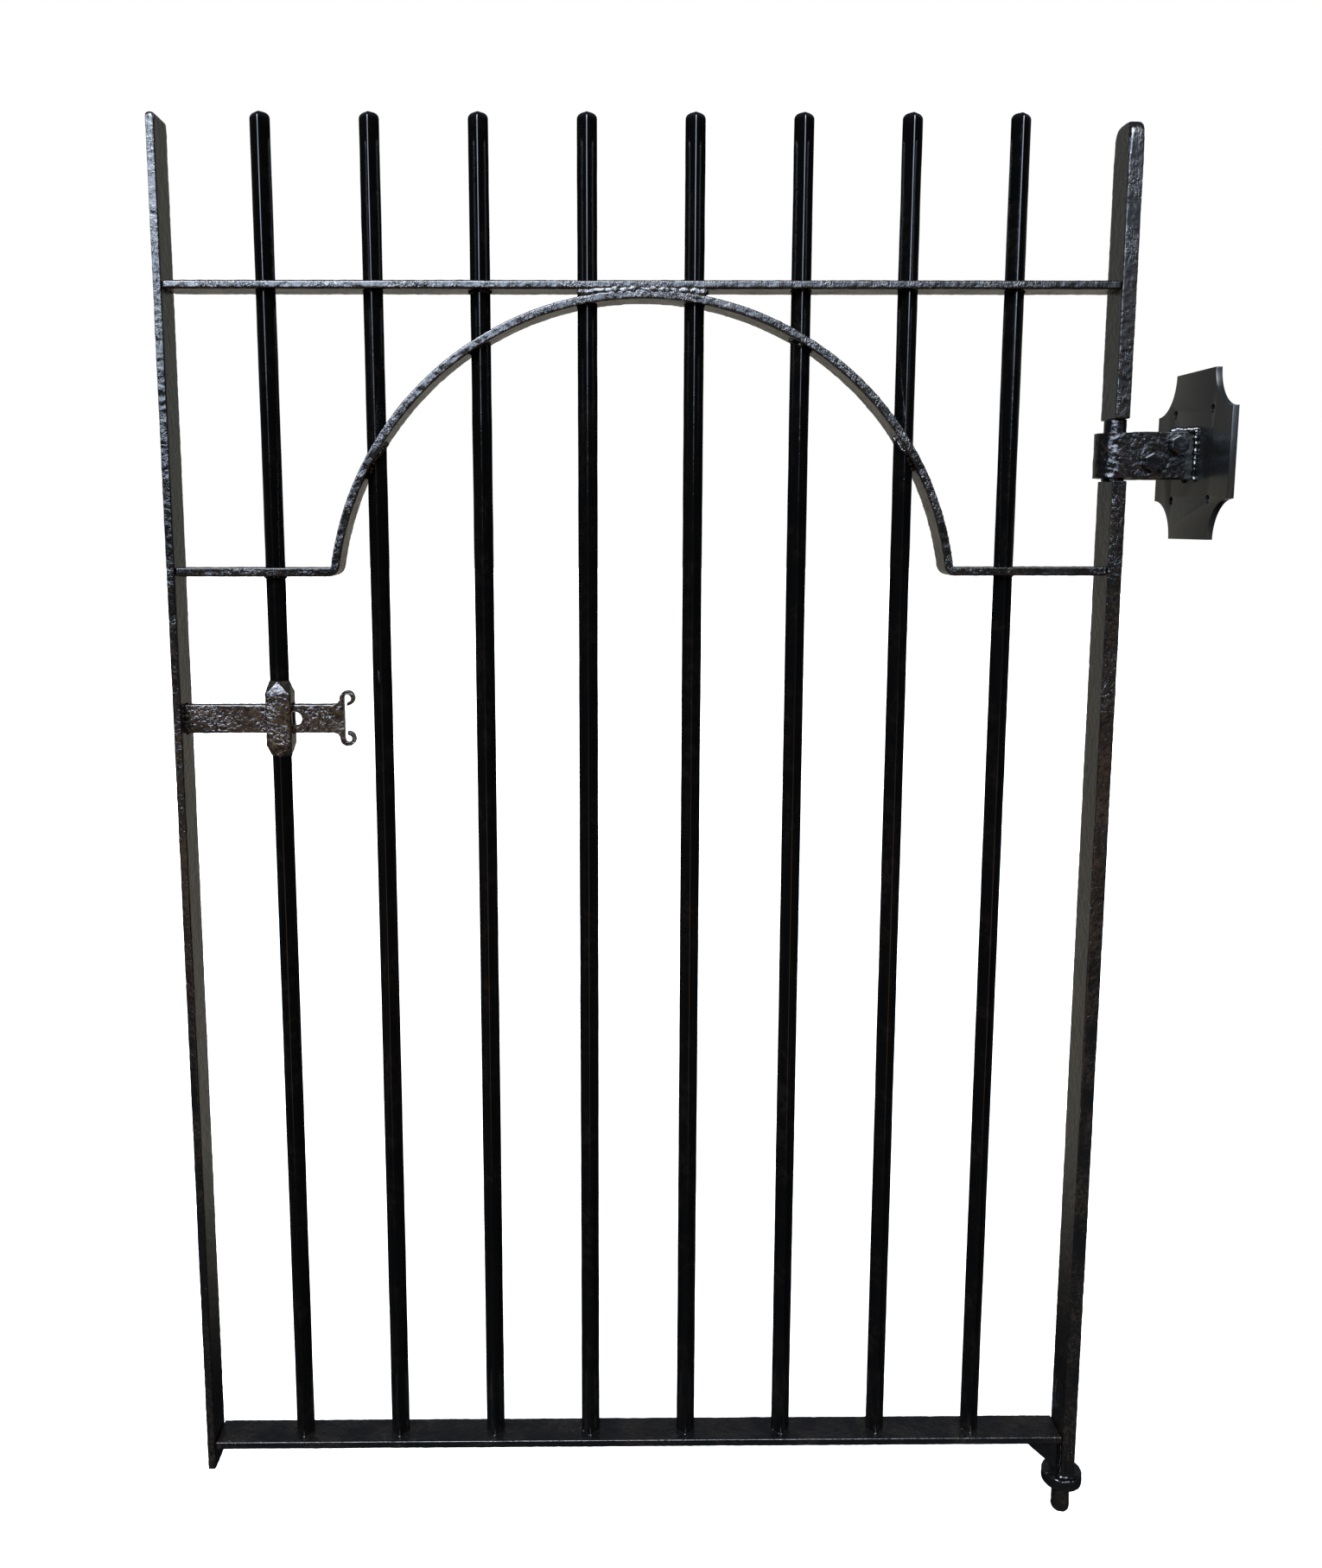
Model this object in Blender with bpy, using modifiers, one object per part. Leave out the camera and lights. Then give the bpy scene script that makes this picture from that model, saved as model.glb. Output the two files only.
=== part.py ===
"""Garden gate of flat and square wrought-iron bar, with a sliding latch and a wall bracket.

The leaf is two flat stiles, a top rail, a rail bent into an arch, a bottom rail and a row of square
bars that stand corner-on and pass through punched holes in the rails. The latch bolt slides through
a slot in the latch stile, and through the first bar and the keeper block round it. The hinge stile
is two flat bars on a round neck, which turns in a strap that is bolted to the wall plate's lug, and
it ends in a pin at its foot.

Frame, in metres: the origin is the centre of the wall plate's back face. The leaf lies towards -X,
its front faces -Y and +Z is up. Heights are given above the foot of the latch stile.
"""

import math

import bmesh
import bpy
from mathutils import Matrix, Vector

# Fits
GAP = 0.0003                      # between pieces that touch
NECK_PLAY = 0.0005                # radial, strap round the neck
SLOT_PLAY = 0.0006                # latch bolt in its slots, each side

# Row of bars
BAR_COUNT = 8
BAR_PITCH = 0.1016
BAR_SIDE = 0.0140
BAR_TOP = 1.3740
BAR_TOP_ROUNDING = 0.0062
LATCH_STILE_TO_FIRST_BAR = 0.0965
LAST_BAR_TO_HINGE_STILE = 0.1029

# Stiles
STILE_DEPTH = 0.0390
STILE_TOP_RADIUS = 0.0125
LATCH_STILE_THICKNESS = 0.0095
LATCH_STILE_TOP = 1.3700
HINGE_STILE_THICKNESS = 0.0145
HINGE_STILE_TOP = 1.3640
HINGE_STILE_FOOT = -0.0180

# Rails
RAIL_DEPTH = 0.0360
RAIL_THICKNESS = 0.0085
TOP_RAIL_UNDERSIDE = 1.2114
MID_RAIL_UNDERSIDE = 0.9430
BOTTOM_RAIL_UNDERSIDE = 0.0220
ARCH_OUTER_RADIUS = 0.3040
BEND_INNER_RADIUS = 0.0020

# Latch
LATCH_HEIGHT = 0.8028             # the bolt's centre line
LATCH_BOLT_HEIGHT = 0.0300
LATCH_BOLT_THICKNESS = 0.0090
LATCH_NOSE_INSET = 0.0010         # inside the stile's outer face, drawn back
LATCH_TRAVEL = 0.0390
LATCH_STOP_SPARE = 0.0010         # left between the flare and the keeper, thrown
FLARE_RADIUS = 0.0052             # where the bolt widens into the handle
SCROLL_OUTER_RADIUS = 0.0083
SCROLL_TIP_RADIUS = 0.0072
SCROLL_INNER_RADIUS = 0.0028
SCROLL_TIP_INNER_RADIUS = 0.0040
SCROLL_END_ANGLE = math.radians(-100.0)
PADLOCK_HOLE_RADIUS = 0.0068
PADLOCK_HOLE_SPARE = 0.0041       # from the keeper to the hole's edge, thrown

# Keeper block round the first bar
KEEPER_WIDTH = 0.0265
KEEPER_DEPTH = 0.0260
KEEPER_CHAMFER = 0.0014
KEEPER_LENGTH = 0.0770
KEEPER_TIP_LENGTH = 0.0105
KEEPER_RIM = 0.0012               # wall left at its ends, outside the bar

# Foot
COLLAR_RADIUS = 0.0215
COLLAR_THICKNESS = 0.0150
COLLAR_ROUNDING = 0.0030
FOOT_PIN_RADIUS = 0.0100
FOOT_PIN_REACH = 0.0480           # below the hinge stile's foot
FOOT_PIN_ROUNDING = 0.0040
GUSSET_WIDTH = 0.0410
GUSSET_DROP = 0.0370
GUSSET_THICKNESS = 0.0120

# Hinge and wall bracket
HINGE_HEIGHT = 1.0580             # middle of the strap and of the wall plate
AXIS_FROM_WALL = 0.0815
NECK_RADIUS = 0.01075
NECK_BELOW_MIDDLE = 0.0240
NECK_ABOVE_MIDDLE = 0.0340
STRAP_HEIGHT = 0.0440
STRAP_THICKNESS = 0.0080
STRAP_REACH = 0.0625              # from the axis to the ends of the legs
LUG_HEIGHT = 0.0460
LUG_FROM_AXIS = 0.0145
PLATE_SIZE = 0.1600
PLATE_THICKNESS = 0.0060
PLATE_SCOOP_RADIUS = 0.0380
PLATE_HOLE_RADIUS = 0.0042
PLATE_HOLE_SPACING_Y = 0.0800
PLATE_HOLE_SPACING_Z = 0.0840

# Strap bolts: offset from the hinge axis along X and from the middle of the strap along Z
BOLT_OFFSETS = ((0.0292, -0.0069), (0.0535, 0.0098))
BOLT_RADIUS = 0.0050
BOLT_HEAD_ACROSS_FLATS = 0.0170
BOLT_HEAD_HEIGHT = 0.0064
NUT_HEIGHT = 0.0080
BOLT_PAST_NUT = 0.0030

# Facets on round shapes
ARCH_SEGMENTS = 72
CORNER_SEGMENTS = 6
ROUND_SEGMENTS = 32
SHARP_ANGLE = math.radians(35.0)

# Places worked out from the sizes above
AXIS_X = -AXIS_FROM_WALL
LAST_BAR_X = AXIS_X - LAST_BAR_TO_HINGE_STILE
FIRST_BAR_X = LAST_BAR_X - (BAR_COUNT - 1) * BAR_PITCH
LATCH_STILE_X = FIRST_BAR_X - LATCH_STILE_TO_FIRST_BAR
CLEAR_LEFT_X = LATCH_STILE_X + LATCH_STILE_THICKNESS / 2 + GAP
CLEAR_RIGHT_X = AXIS_X - HINGE_STILE_THICKNESS / 2 - GAP
BAR_HALF_DIAGONAL = BAR_SIDE / math.sqrt(2)
STRAP_INNER_RADIUS = NECK_RADIUS + NECK_PLAY
STRAP_OUTER_RADIUS = STRAP_INNER_RADIUS + STRAP_THICKNESS
LATCH_NOSE_X = LATCH_STILE_X - LATCH_STILE_THICKNESS / 2 + LATCH_NOSE_INSET
KEEPER_RIGHT_X = FIRST_BAR_X + KEEPER_WIDTH / 2
FLARE_X = KEEPER_RIGHT_X + LATCH_TRAVEL + LATCH_STOP_SPARE
KEEPER_LEFT_X = FIRST_BAR_X - KEEPER_WIDTH / 2
PADLOCK_HOLE_X = KEEPER_LEFT_X + LATCH_TRAVEL - PADLOCK_HOLE_SPARE - PADLOCK_HOLE_RADIUS

# Turns of a flat outline out of its own plane: outline x, outline y, extrusion
FACING_FRONT = (math.radians(90.0), 0.0, 0.0)                      # X, Z, -Y
FACING_SIDE = (math.radians(90.0), 0.0, math.radians(90.0))        # Y, Z, X
LYING_FLAT = (0.0, 0.0, 0.0)                                       # X, Y, Z


def row_z(height):
    """World Z of a height above the latch stile's foot."""
    return height - HINGE_HEIGHT


def remove_all_objects():
    for thing in list(bpy.data.objects):
        bpy.data.objects.remove(thing, do_unlink=True)


def new_collection(name):
    collection = bpy.data.collections.new(name)
    bpy.context.scene.collection.children.link(collection)
    return collection


def paint(name, colour, roughness, metallic=0.0):
    material = bpy.data.materials.new(name)
    material.use_nodes = True
    shader = material.node_tree.nodes["Principled BSDF"]
    shader.inputs["Base Color"].default_value = (*colour, 1.0)
    shader.inputs["Roughness"].default_value = roughness
    shader.inputs["Metallic"].default_value = metallic
    return material


remove_all_objects()
GATE = new_collection("garden_gate")
CUTTERS = new_collection("cutters")

STILE_PAINT = paint("stile_paint", (0.020, 0.018, 0.016), 0.30)
RAIL_PAINT = paint("rail_paint", (0.022, 0.020, 0.018), 0.28)
BAR_PAINT = paint("bar_paint", (0.006, 0.006, 0.007), 0.18)
LATCH_PAINT = paint("latch_paint", (0.030, 0.023, 0.017), 0.26)
BRACKET_PAINT = paint("bracket_paint", (0.012, 0.012, 0.012), 0.25)
STRAP_PAINT = paint("strap_paint", (0.020, 0.017, 0.015), 0.24)


def axis_empty(name, location, parent=None):
    """Marks a joint's axis; what moves on the joint is its child."""
    empty = bpy.data.objects.new(name, None)
    GATE.objects.link(empty)
    attach(empty, parent)
    empty.location = Vector(location)
    return empty


def attach(thing, parent):
    """Parents a thing so that its location stays a place in the world."""
    if parent is not None:
        thing.parent = parent
        thing.matrix_parent_inverse = parent_place(parent).inverted()


def parent_place(parent):
    place = Matrix.Translation(parent.location)
    if parent.parent is not None:
        place = parent_place(parent.parent) @ parent.matrix_parent_inverse @ place
    return place


def add_piece(name, mesh, material, parent, location, rotation=LYING_FLAT):
    mesh.name = name
    mesh.materials.clear()
    mesh.materials.append(material)
    piece = bpy.data.objects.new(name, mesh)
    GATE.objects.link(piece)
    attach(piece, parent)
    piece.location = Vector(location)
    piece.rotation_euler = rotation
    return piece


def add_cutter(name, mesh, location, rotation=LYING_FLAT):
    cutter = bpy.data.objects.new(name, mesh)
    CUTTERS.objects.link(cutter)
    cutter.location = Vector(location)
    cutter.rotation_euler = rotation
    cutter.hide_render = True
    cutter.display_type = "WIRE"
    return cutter


def combine(piece, tool, operation):
    modifier = piece.modifiers.new(f"{operation.lower()}_{tool.name}", "BOOLEAN")
    modifier.operation = operation
    modifier.solver = "EXACT"
    modifier.object = tool


def mesh_from(builder):
    """A new mesh from a bmesh that `builder` fills."""
    shape = bmesh.new()
    builder(shape)
    bmesh.ops.recalc_face_normals(shape, faces=shape.faces)
    mesh = bpy.data.meshes.new("shape")
    shape.to_mesh(mesh)
    shape.free()
    return mesh


def shade_round(mesh):
    mesh.shade_smooth()
    mesh.set_sharp_from_angle(angle=SHARP_ANGLE)


def box_mesh(size):
    def build(shape):
        bmesh.ops.create_cube(shape, size=1.0, matrix=Matrix.Diagonal((*size, 1.0)))
    return mesh_from(build)


def rod_mesh(radius, length, segments=ROUND_SEGMENTS):
    """A closed rod or, with six segments, a hexagon, along its own Z and centred."""
    def build(shape):
        bmesh.ops.create_cone(
            shape, cap_ends=True, segments=segments, radius1=radius, radius2=radius, depth=length)
    mesh = mesh_from(build)
    shade_round(mesh)
    return mesh


def outline_mesh(loops, thickness):
    """A flat plate whose edge is the first loop; further loops are its holes."""
    curve = bpy.data.curves.new("outline", "CURVE")
    curve.dimensions = "2D"
    curve.fill_mode = "BOTH"
    curve.extrude = thickness / 2
    for loop in loops:
        spline = curve.splines.new("POLY")
        spline.points.add(len(loop) - 1)
        for point, (x, y) in zip(spline.points, loop):
            point.co = (x, y, 0.0, 1.0)
        spline.use_cyclic_u = True
    guide = bpy.data.objects.new("outline_guide", curve)
    CUTTERS.objects.link(guide)
    evaluated = guide.evaluated_get(bpy.context.evaluated_depsgraph_get())
    flat = bpy.data.meshes.new_from_object(evaluated)
    bpy.data.objects.remove(guide, do_unlink=True)

    def build(shape):
        shape.from_mesh(flat)
        bmesh.ops.remove_doubles(shape, verts=shape.verts, dist=GAP / 30)
    mesh = mesh_from(build)
    bpy.data.meshes.remove(flat)
    return mesh


def turned_piece(name, profile, material, parent, location):
    """A profile of (radius, height) points, top to bottom, turned about Z."""
    mesh = bpy.data.meshes.new(name)
    points = [(radius, 0.0, height) for radius, height in profile]
    mesh.from_pydata(points, [(i, i + 1) for i in range(len(points) - 1)], [])
    piece = add_piece(name, mesh, material, parent, location)
    screw = piece.modifiers.new("turn", "SCREW")
    screw.axis = "Z"
    screw.angle = math.tau
    screw.steps = ROUND_SEGMENTS
    screw.render_steps = ROUND_SEGMENTS
    screw.use_merge_vertices = True
    screw.merge_threshold = 0.00005
    screw.use_smooth_shade = True
    return piece


def arc(centre, radius, start, end, steps):
    """Points from one angle to the other, both ends included."""
    angles = [start + (end - start) * i / steps for i in range(steps + 1)]
    return [(centre[0] + radius * math.cos(a), centre[1] + radius * math.sin(a)) for a in angles]


def circle(centre, radius):
    return arc(centre, radius, 0.0, math.tau, ROUND_SEGMENTS)[:-1]


def mirrored_in_y(points):
    """The same points upside down, in reverse order, to close a symmetric outline."""
    return [(x, -y) for x, y in reversed(points)]


def bar_x(index):
    return FIRST_BAR_X + index * BAR_PITCH


# Leaf: stiles

def stile_outline(foot, top):
    """Side view of a flat bar, (y, z) about mid height, with both top corners rounded."""
    half = STILE_DEPTH / 2
    radius = STILE_TOP_RADIUS
    front = arc((-half + radius, top - radius), radius, math.pi, math.pi / 2, CORNER_SEGMENTS)
    back = arc((half - radius, top - radius), radius, math.pi / 2, 0.0, CORNER_SEGMENTS)
    return [(-half, foot)] + front + back + [(half, foot)]


def latch_slot(name, x, length):
    size = (length, LATCH_BOLT_THICKNESS + 2 * SLOT_PLAY, LATCH_BOLT_HEIGHT + 2 * SLOT_PLAY)
    return add_cutter(name, box_mesh(size), (x, 0.0, row_z(LATCH_HEIGHT)))


def latch_stile(parent):
    outline = stile_outline(row_z(0.0), row_z(LATCH_STILE_TOP))
    mesh = outline_mesh([outline], LATCH_STILE_THICKNESS)
    stile = add_piece("latch_stile", mesh, STILE_PAINT, parent, (LATCH_STILE_X, 0.0, 0.0), FACING_SIDE)
    combine(stile, latch_slot("stile_slot", LATCH_STILE_X, 2 * LATCH_STILE_THICKNESS), "DIFFERENCE")


def hinge_stile(parent):
    outline = stile_outline(NECK_ABOVE_MIDDLE, row_z(HINGE_STILE_TOP))
    upper = outline_mesh([outline], HINGE_STILE_THICKNESS)
    add_piece("hinge_stile_upper", upper, STILE_PAINT, parent, (AXIS_X, 0.0, 0.0), FACING_SIDE)

    foot = row_z(HINGE_STILE_FOOT)
    lower_top = -NECK_BELOW_MIDDLE
    lower = box_mesh((HINGE_STILE_THICKNESS, STILE_DEPTH, lower_top - foot))
    lower_middle = (AXIS_X, 0.0, (foot + lower_top) / 2)
    add_piece("hinge_stile_lower", lower, STILE_PAINT, parent, lower_middle)


def hinge_neck(parent):
    low = -NECK_BELOW_MIDDLE + GAP
    high = NECK_ABOVE_MIDDLE - GAP
    middle = (AXIS_X, 0.0, (low + high) / 2)
    add_piece("hinge_neck", rod_mesh(NECK_RADIUS, high - low), STILE_PAINT, parent, middle)


# Leaf: rails

def bar_passages():
    """One prism for each bar, a clearance larger than the bar, through every rail."""
    side = BAR_SIDE + 2 * GAP
    low = BOTTOM_RAIL_UNDERSIDE - RAIL_THICKNESS
    high = TOP_RAIL_UNDERSIDE + 2 * RAIL_THICKNESS

    def build(shape):
        for index in range(BAR_COUNT):
            place = Matrix.Translation((bar_x(index), 0.0, row_z((low + high) / 2)))
            turn = Matrix.Rotation(math.radians(45.0), 4, "Z")
            size = Matrix.Diagonal((side, side, high - low, 1.0))
            bmesh.ops.create_cube(shape, size=1.0, matrix=place @ turn @ size)
    return add_cutter("bar_passages", mesh_from(build), (0.0, 0.0, 0.0))


def straight_rail(name, underside, passages, parent):
    length = CLEAR_RIGHT_X - CLEAR_LEFT_X
    mesh = box_mesh((length, RAIL_DEPTH, RAIL_THICKNESS))
    middle = ((CLEAR_LEFT_X + CLEAR_RIGHT_X) / 2, 0.0, row_z(underside + RAIL_THICKNESS / 2))
    rail = add_piece(name, mesh, RAIL_PAINT, parent, middle)
    combine(rail, passages, "DIFFERENCE")


def arch_edge(rise):
    """Upper or lower edge of the bent rail, left to right, `rise` above its centre line."""
    arch_radius = ARCH_OUTER_RADIUS - RAIL_THICKNESS / 2
    bend_radius = BEND_INNER_RADIUS + RAIL_THICKNESS / 2
    run_z = row_z(MID_RAIL_UNDERSIDE + RAIL_THICKNESS / 2)
    centre_x = (CLEAR_LEFT_X + CLEAR_RIGHT_X) / 2
    centre_z = row_z(TOP_RAIL_UNDERSIDE - GAP) - ARCH_OUTER_RADIUS
    bend_z = run_z + bend_radius
    bend_out = math.sqrt((arch_radius + bend_radius) ** 2 - (bend_z - centre_z) ** 2)
    lean = math.atan2(bend_z - centre_z, bend_out)

    left_bend = arc((centre_x - bend_out, bend_z), bend_radius - rise,
                    -math.pi / 2, -lean, CORNER_SEGMENTS)
    sweep = arc((centre_x, centre_z), arch_radius + rise, math.pi - lean, lean, ARCH_SEGMENTS)
    right_bend = arc((centre_x + bend_out, bend_z), bend_radius - rise,
                     math.pi + lean, 1.5 * math.pi, CORNER_SEGMENTS)
    ends = ((CLEAR_LEFT_X, run_z + rise), (CLEAR_RIGHT_X, run_z + rise))
    return [ends[0]] + left_bend + sweep[1:-1] + right_bend + [ends[1]]


def arch_rail(passages, parent):
    upper = arch_edge(RAIL_THICKNESS / 2)
    lower = arch_edge(-RAIL_THICKNESS / 2)
    mesh = outline_mesh([upper + lower[::-1]], RAIL_DEPTH)
    rail = add_piece("arch_rail", mesh, RAIL_PAINT, parent, (0.0, 0.0, 0.0), FACING_FRONT)
    combine(rail, passages, "DIFFERENCE")


# Leaf: bars

def bar_mesh():
    """A square bar set corner-on, with the edges of its top rounded over."""
    foot = row_z(BOTTOM_RAIL_UNDERSIDE)
    top = row_z(BAR_TOP)

    def build(shape):
        turn = Matrix.Rotation(math.radians(45.0), 4, "Z")
        size = Matrix.Diagonal((BAR_SIDE, BAR_SIDE, top - foot, 1.0))
        place = Matrix.Translation((0.0, 0.0, (foot + top) / 2))
        bmesh.ops.create_cube(shape, size=1.0, matrix=place @ turn @ size)
        rim = [edge for edge in shape.edges if all(v.co.z > top - GAP for v in edge.verts)]
        bmesh.ops.bevel(shape, geom=rim, offset=BAR_TOP_ROUNDING, segments=CORNER_SEGMENTS,
                        profile=0.5, affect="EDGES", clamp_overlap=True)
    return mesh_from(build)


def picket_bars(parent):
    plain = bar_mesh()
    for index in range(BAR_COUNT):
        place = (bar_x(index), 0.0, 0.0)
        bar = add_piece(f"picket_bar_{index + 1}", plain.copy(), BAR_PAINT, parent, place)
        if index == 0:
            combine(bar, latch_slot("bar_slot", place[0], 2 * BAR_SIDE), "DIFFERENCE")


# Latch

def keeper_mesh():
    """A chamfered block whose ends draw in towards the bar's corners."""
    half_x = KEEPER_WIDTH / 2
    half_y = KEEPER_DEPTH / 2
    shoulder = KEEPER_LENGTH / 2 - KEEPER_TIP_LENGTH
    tip = BAR_HALF_DIAGONAL + GAP + KEEPER_RIM
    block = [(sx * (half_x - cut_x), sy * (half_y - cut_y), sz * shoulder)
             for sx in (-1, 1) for sy in (-1, 1) for sz in (-1, 1)
             for cut_x, cut_y in ((KEEPER_CHAMFER, 0.0), (0.0, KEEPER_CHAMFER))]
    ends = [(x, y, sz * KEEPER_LENGTH / 2)
            for x, y in ((tip, 0.0), (-tip, 0.0), (0.0, tip), (0.0, -tip)) for sz in (-1, 1)]

    def build(shape):
        points = [shape.verts.new(point) for point in block + ends]
        bmesh.ops.convex_hull(shape, input=points)
    return mesh_from(build)


def latch_keeper(passages, parent):
    middle = (FIRST_BAR_X, 0.0, row_z(LATCH_HEIGHT))
    keeper = add_piece("latch_keeper", keeper_mesh(), LATCH_PAINT, parent, middle)
    combine(keeper, passages, "DIFFERENCE")
    combine(keeper, latch_slot("keeper_slot", FIRST_BAR_X, 2 * KEEPER_WIDTH), "DIFFERENCE")


def scroll_edge(centre, radius_start, radius_end, start, end, steps):
    """An arc whose radius changes evenly along its length."""
    points = []
    for i in range(steps + 1):
        share = i / steps
        angle = start + (end - start) * share
        radius = radius_start + (radius_end - radius_start) * share
        points.append((centre[0] + radius * math.cos(angle), centre[1] + radius * math.sin(angle)))
    return points


def latch_outline():
    """Front view of the bolt, (x, z) about its centre line, with two scrolls at the handle."""
    half = LATCH_BOLT_HEIGHT / 2
    rise = half + FLARE_RADIUS
    centre = (FLARE_X + FLARE_RADIUS + SCROLL_OUTER_RADIUS, rise)
    flare = arc((FLARE_X, rise), FLARE_RADIUS, -math.pi / 2, 0.0, CORNER_SEGMENTS)
    outer = scroll_edge(centre, SCROLL_OUTER_RADIUS, SCROLL_TIP_RADIUS,
                        math.pi, SCROLL_END_ANGLE, 2 * ROUND_SEGMENTS // 3)
    inner = scroll_edge(centre, SCROLL_TIP_INNER_RADIUS, SCROLL_INNER_RADIUS,
                        SCROLL_END_ANGLE, math.pi, ROUND_SEGMENTS // 2)
    upper = [(LATCH_NOSE_X, half)] + flare + outer[1:] + inner
    return upper + mirrored_in_y(upper)


def latch_bolt(parent):
    hole = circle((PADLOCK_HOLE_X, 0.0), PADLOCK_HOLE_RADIUS)
    mesh = outline_mesh([latch_outline(), hole], LATCH_BOLT_THICKNESS)
    shade_round(mesh)
    add_piece("latch_bolt", mesh, LATCH_PAINT, parent, (0.0, 0.0, row_z(LATCH_HEIGHT)), FACING_FRONT)


# Foot

def foot_gusset(parent):
    corner = (CLEAR_RIGHT_X, row_z(BOTTOM_RAIL_UNDERSIDE) - GAP)
    outline = [corner, (corner[0] - GUSSET_WIDTH, corner[1]), (corner[0], corner[1] - GUSSET_DROP)]
    mesh = outline_mesh([outline], GUSSET_THICKNESS)
    add_piece("foot_gusset", mesh, RAIL_PAINT, parent, (0.0, 0.0, 0.0), FACING_FRONT)


def foot_collar(parent):
    top = row_z(HINGE_STILE_FOOT) - GAP
    bore = FOOT_PIN_RADIUS + GAP
    centre = COLLAR_RADIUS - COLLAR_ROUNDING
    shoulder = COLLAR_THICKNESS - COLLAR_ROUNDING
    rim = arc((centre, -COLLAR_ROUNDING), COLLAR_ROUNDING, math.pi / 2, 0.0, CORNER_SEGMENTS)
    lower_rim = arc((centre, -shoulder), COLLAR_ROUNDING, 0.0, -math.pi / 2, CORNER_SEGMENTS)
    profile = [(bore, 0.0)] + rim + lower_rim + [(bore, -COLLAR_THICKNESS), (bore, 0.0)]
    turned_piece("foot_collar", profile, STILE_PAINT, parent, (AXIS_X, 0.0, top))


def foot_pin(parent):
    top = row_z(HINGE_STILE_FOOT) - GAP
    centre = (FOOT_PIN_RADIUS - FOOT_PIN_ROUNDING, FOOT_PIN_ROUNDING - FOOT_PIN_REACH)
    tip = arc(centre, FOOT_PIN_ROUNDING, 0.0, -math.pi / 2, CORNER_SEGMENTS)
    profile = [(0.0, 0.0), (FOOT_PIN_RADIUS, 0.0)] + tip + [(0.0, -FOOT_PIN_REACH)]
    turned_piece("foot_pin", profile, STILE_PAINT, parent, (AXIS_X, 0.0, top))


# Wall bracket

def wall_plate():
    half = PLATE_SIZE / 2
    outline = []
    for quarter in range(4):
        turn = quarter * math.pi / 2
        corner = (half * (math.cos(turn) - math.sin(turn)), half * (math.sin(turn) + math.cos(turn)))
        outline += arc(corner, PLATE_SCOOP_RADIUS, turn - math.pi / 2, turn - math.pi, 2 * CORNER_SEGMENTS)
    holes = [circle((sy * PLATE_HOLE_SPACING_Y / 2, sz * PLATE_HOLE_SPACING_Z / 2), PLATE_HOLE_RADIUS)
             for sy in (-1, 1) for sz in (-1, 1)]
    mesh = outline_mesh([outline] + holes, PLATE_THICKNESS)
    shade_round(mesh)
    add_piece("wall_plate", mesh, BRACKET_PAINT, None, (-PLATE_THICKNESS / 2, 0.0, 0.0), FACING_SIDE)


def bolt_holes():
    """Both bolt holes, right through the strap and the lug."""
    def build(shape):
        for x, z in BOLT_OFFSETS:
            place = Matrix.Translation((AXIS_X + x, 0.0, z))
            turn = Matrix.Rotation(math.radians(90.0), 4, "X")
            radius = BOLT_RADIUS + GAP
            bmesh.ops.create_cone(shape, cap_ends=True, segments=ROUND_SEGMENTS, radius1=radius,
                                  radius2=radius, depth=4 * STRAP_OUTER_RADIUS, matrix=place @ turn)
    return add_cutter("bolt_holes", mesh_from(build), (0.0, 0.0, 0.0))


def hinge_lug(holes):
    low_x = AXIS_X + LUG_FROM_AXIS
    high_x = -PLATE_THICKNESS - GAP
    size = (high_x - low_x, 2 * (STRAP_INNER_RADIUS - GAP), LUG_HEIGHT)
    lug = add_piece("hinge_lug", box_mesh(size), BRACKET_PAINT, None, ((low_x + high_x) / 2, 0.0, 0.0))
    combine(lug, holes, "DIFFERENCE")


def hinge_strap(holes):
    outer = arc((0.0, 0.0), STRAP_OUTER_RADIUS, 1.5 * math.pi, math.pi / 2, ROUND_SEGMENTS)
    inner = arc((0.0, 0.0), STRAP_INNER_RADIUS, math.pi / 2, 1.5 * math.pi, ROUND_SEGMENTS)
    outline = ([(STRAP_REACH, -STRAP_OUTER_RADIUS)] + outer + [(STRAP_REACH, STRAP_OUTER_RADIUS)]
               + [(STRAP_REACH, STRAP_INNER_RADIUS)] + inner + [(STRAP_REACH, -STRAP_INNER_RADIUS)])
    mesh = outline_mesh([outline], STRAP_HEIGHT)
    shade_round(mesh)
    strap = add_piece("hinge_strap", mesh, STRAP_PAINT, None, (AXIS_X, 0.0, 0.0))
    combine(strap, holes, "DIFFERENCE")


def strap_fasteners():
    corner_radius = BOLT_HEAD_ACROSS_FLATS / 2 / math.cos(math.radians(30.0))
    seat = STRAP_OUTER_RADIUS + GAP
    shank_length = 2 * seat + NUT_HEIGHT + BOLT_PAST_NUT
    hexagon = arc((0.0, 0.0), corner_radius, 0.0, math.tau, 6)[:-1]
    bore = circle((0.0, 0.0), BOLT_RADIUS + GAP)
    for number, (x, z) in enumerate(BOLT_OFFSETS, start=1):
        head = (AXIS_X + x, -seat - BOLT_HEAD_HEIGHT / 2, z)
        head_mesh = outline_mesh([hexagon], BOLT_HEAD_HEIGHT)
        bolt = add_piece(f"strap_bolt_{number}", head_mesh, STRAP_PAINT, None, head, FACING_FRONT)
        reach = shank_length + BOLT_HEAD_HEIGHT / 2
        shank = (AXIS_X + x, head[1] + reach / 2, z)
        shank_rod = add_cutter(f"bolt_shank_{number}", rod_mesh(BOLT_RADIUS, reach), shank, FACING_FRONT)
        combine(bolt, shank_rod, "UNION")
        nut = (AXIS_X + x, seat + NUT_HEIGHT / 2, z)
        nut_mesh = outline_mesh([hexagon, bore], NUT_HEIGHT)
        add_piece(f"strap_nut_{number}", nut_mesh, STRAP_PAINT, None, nut, FACING_FRONT)


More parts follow.
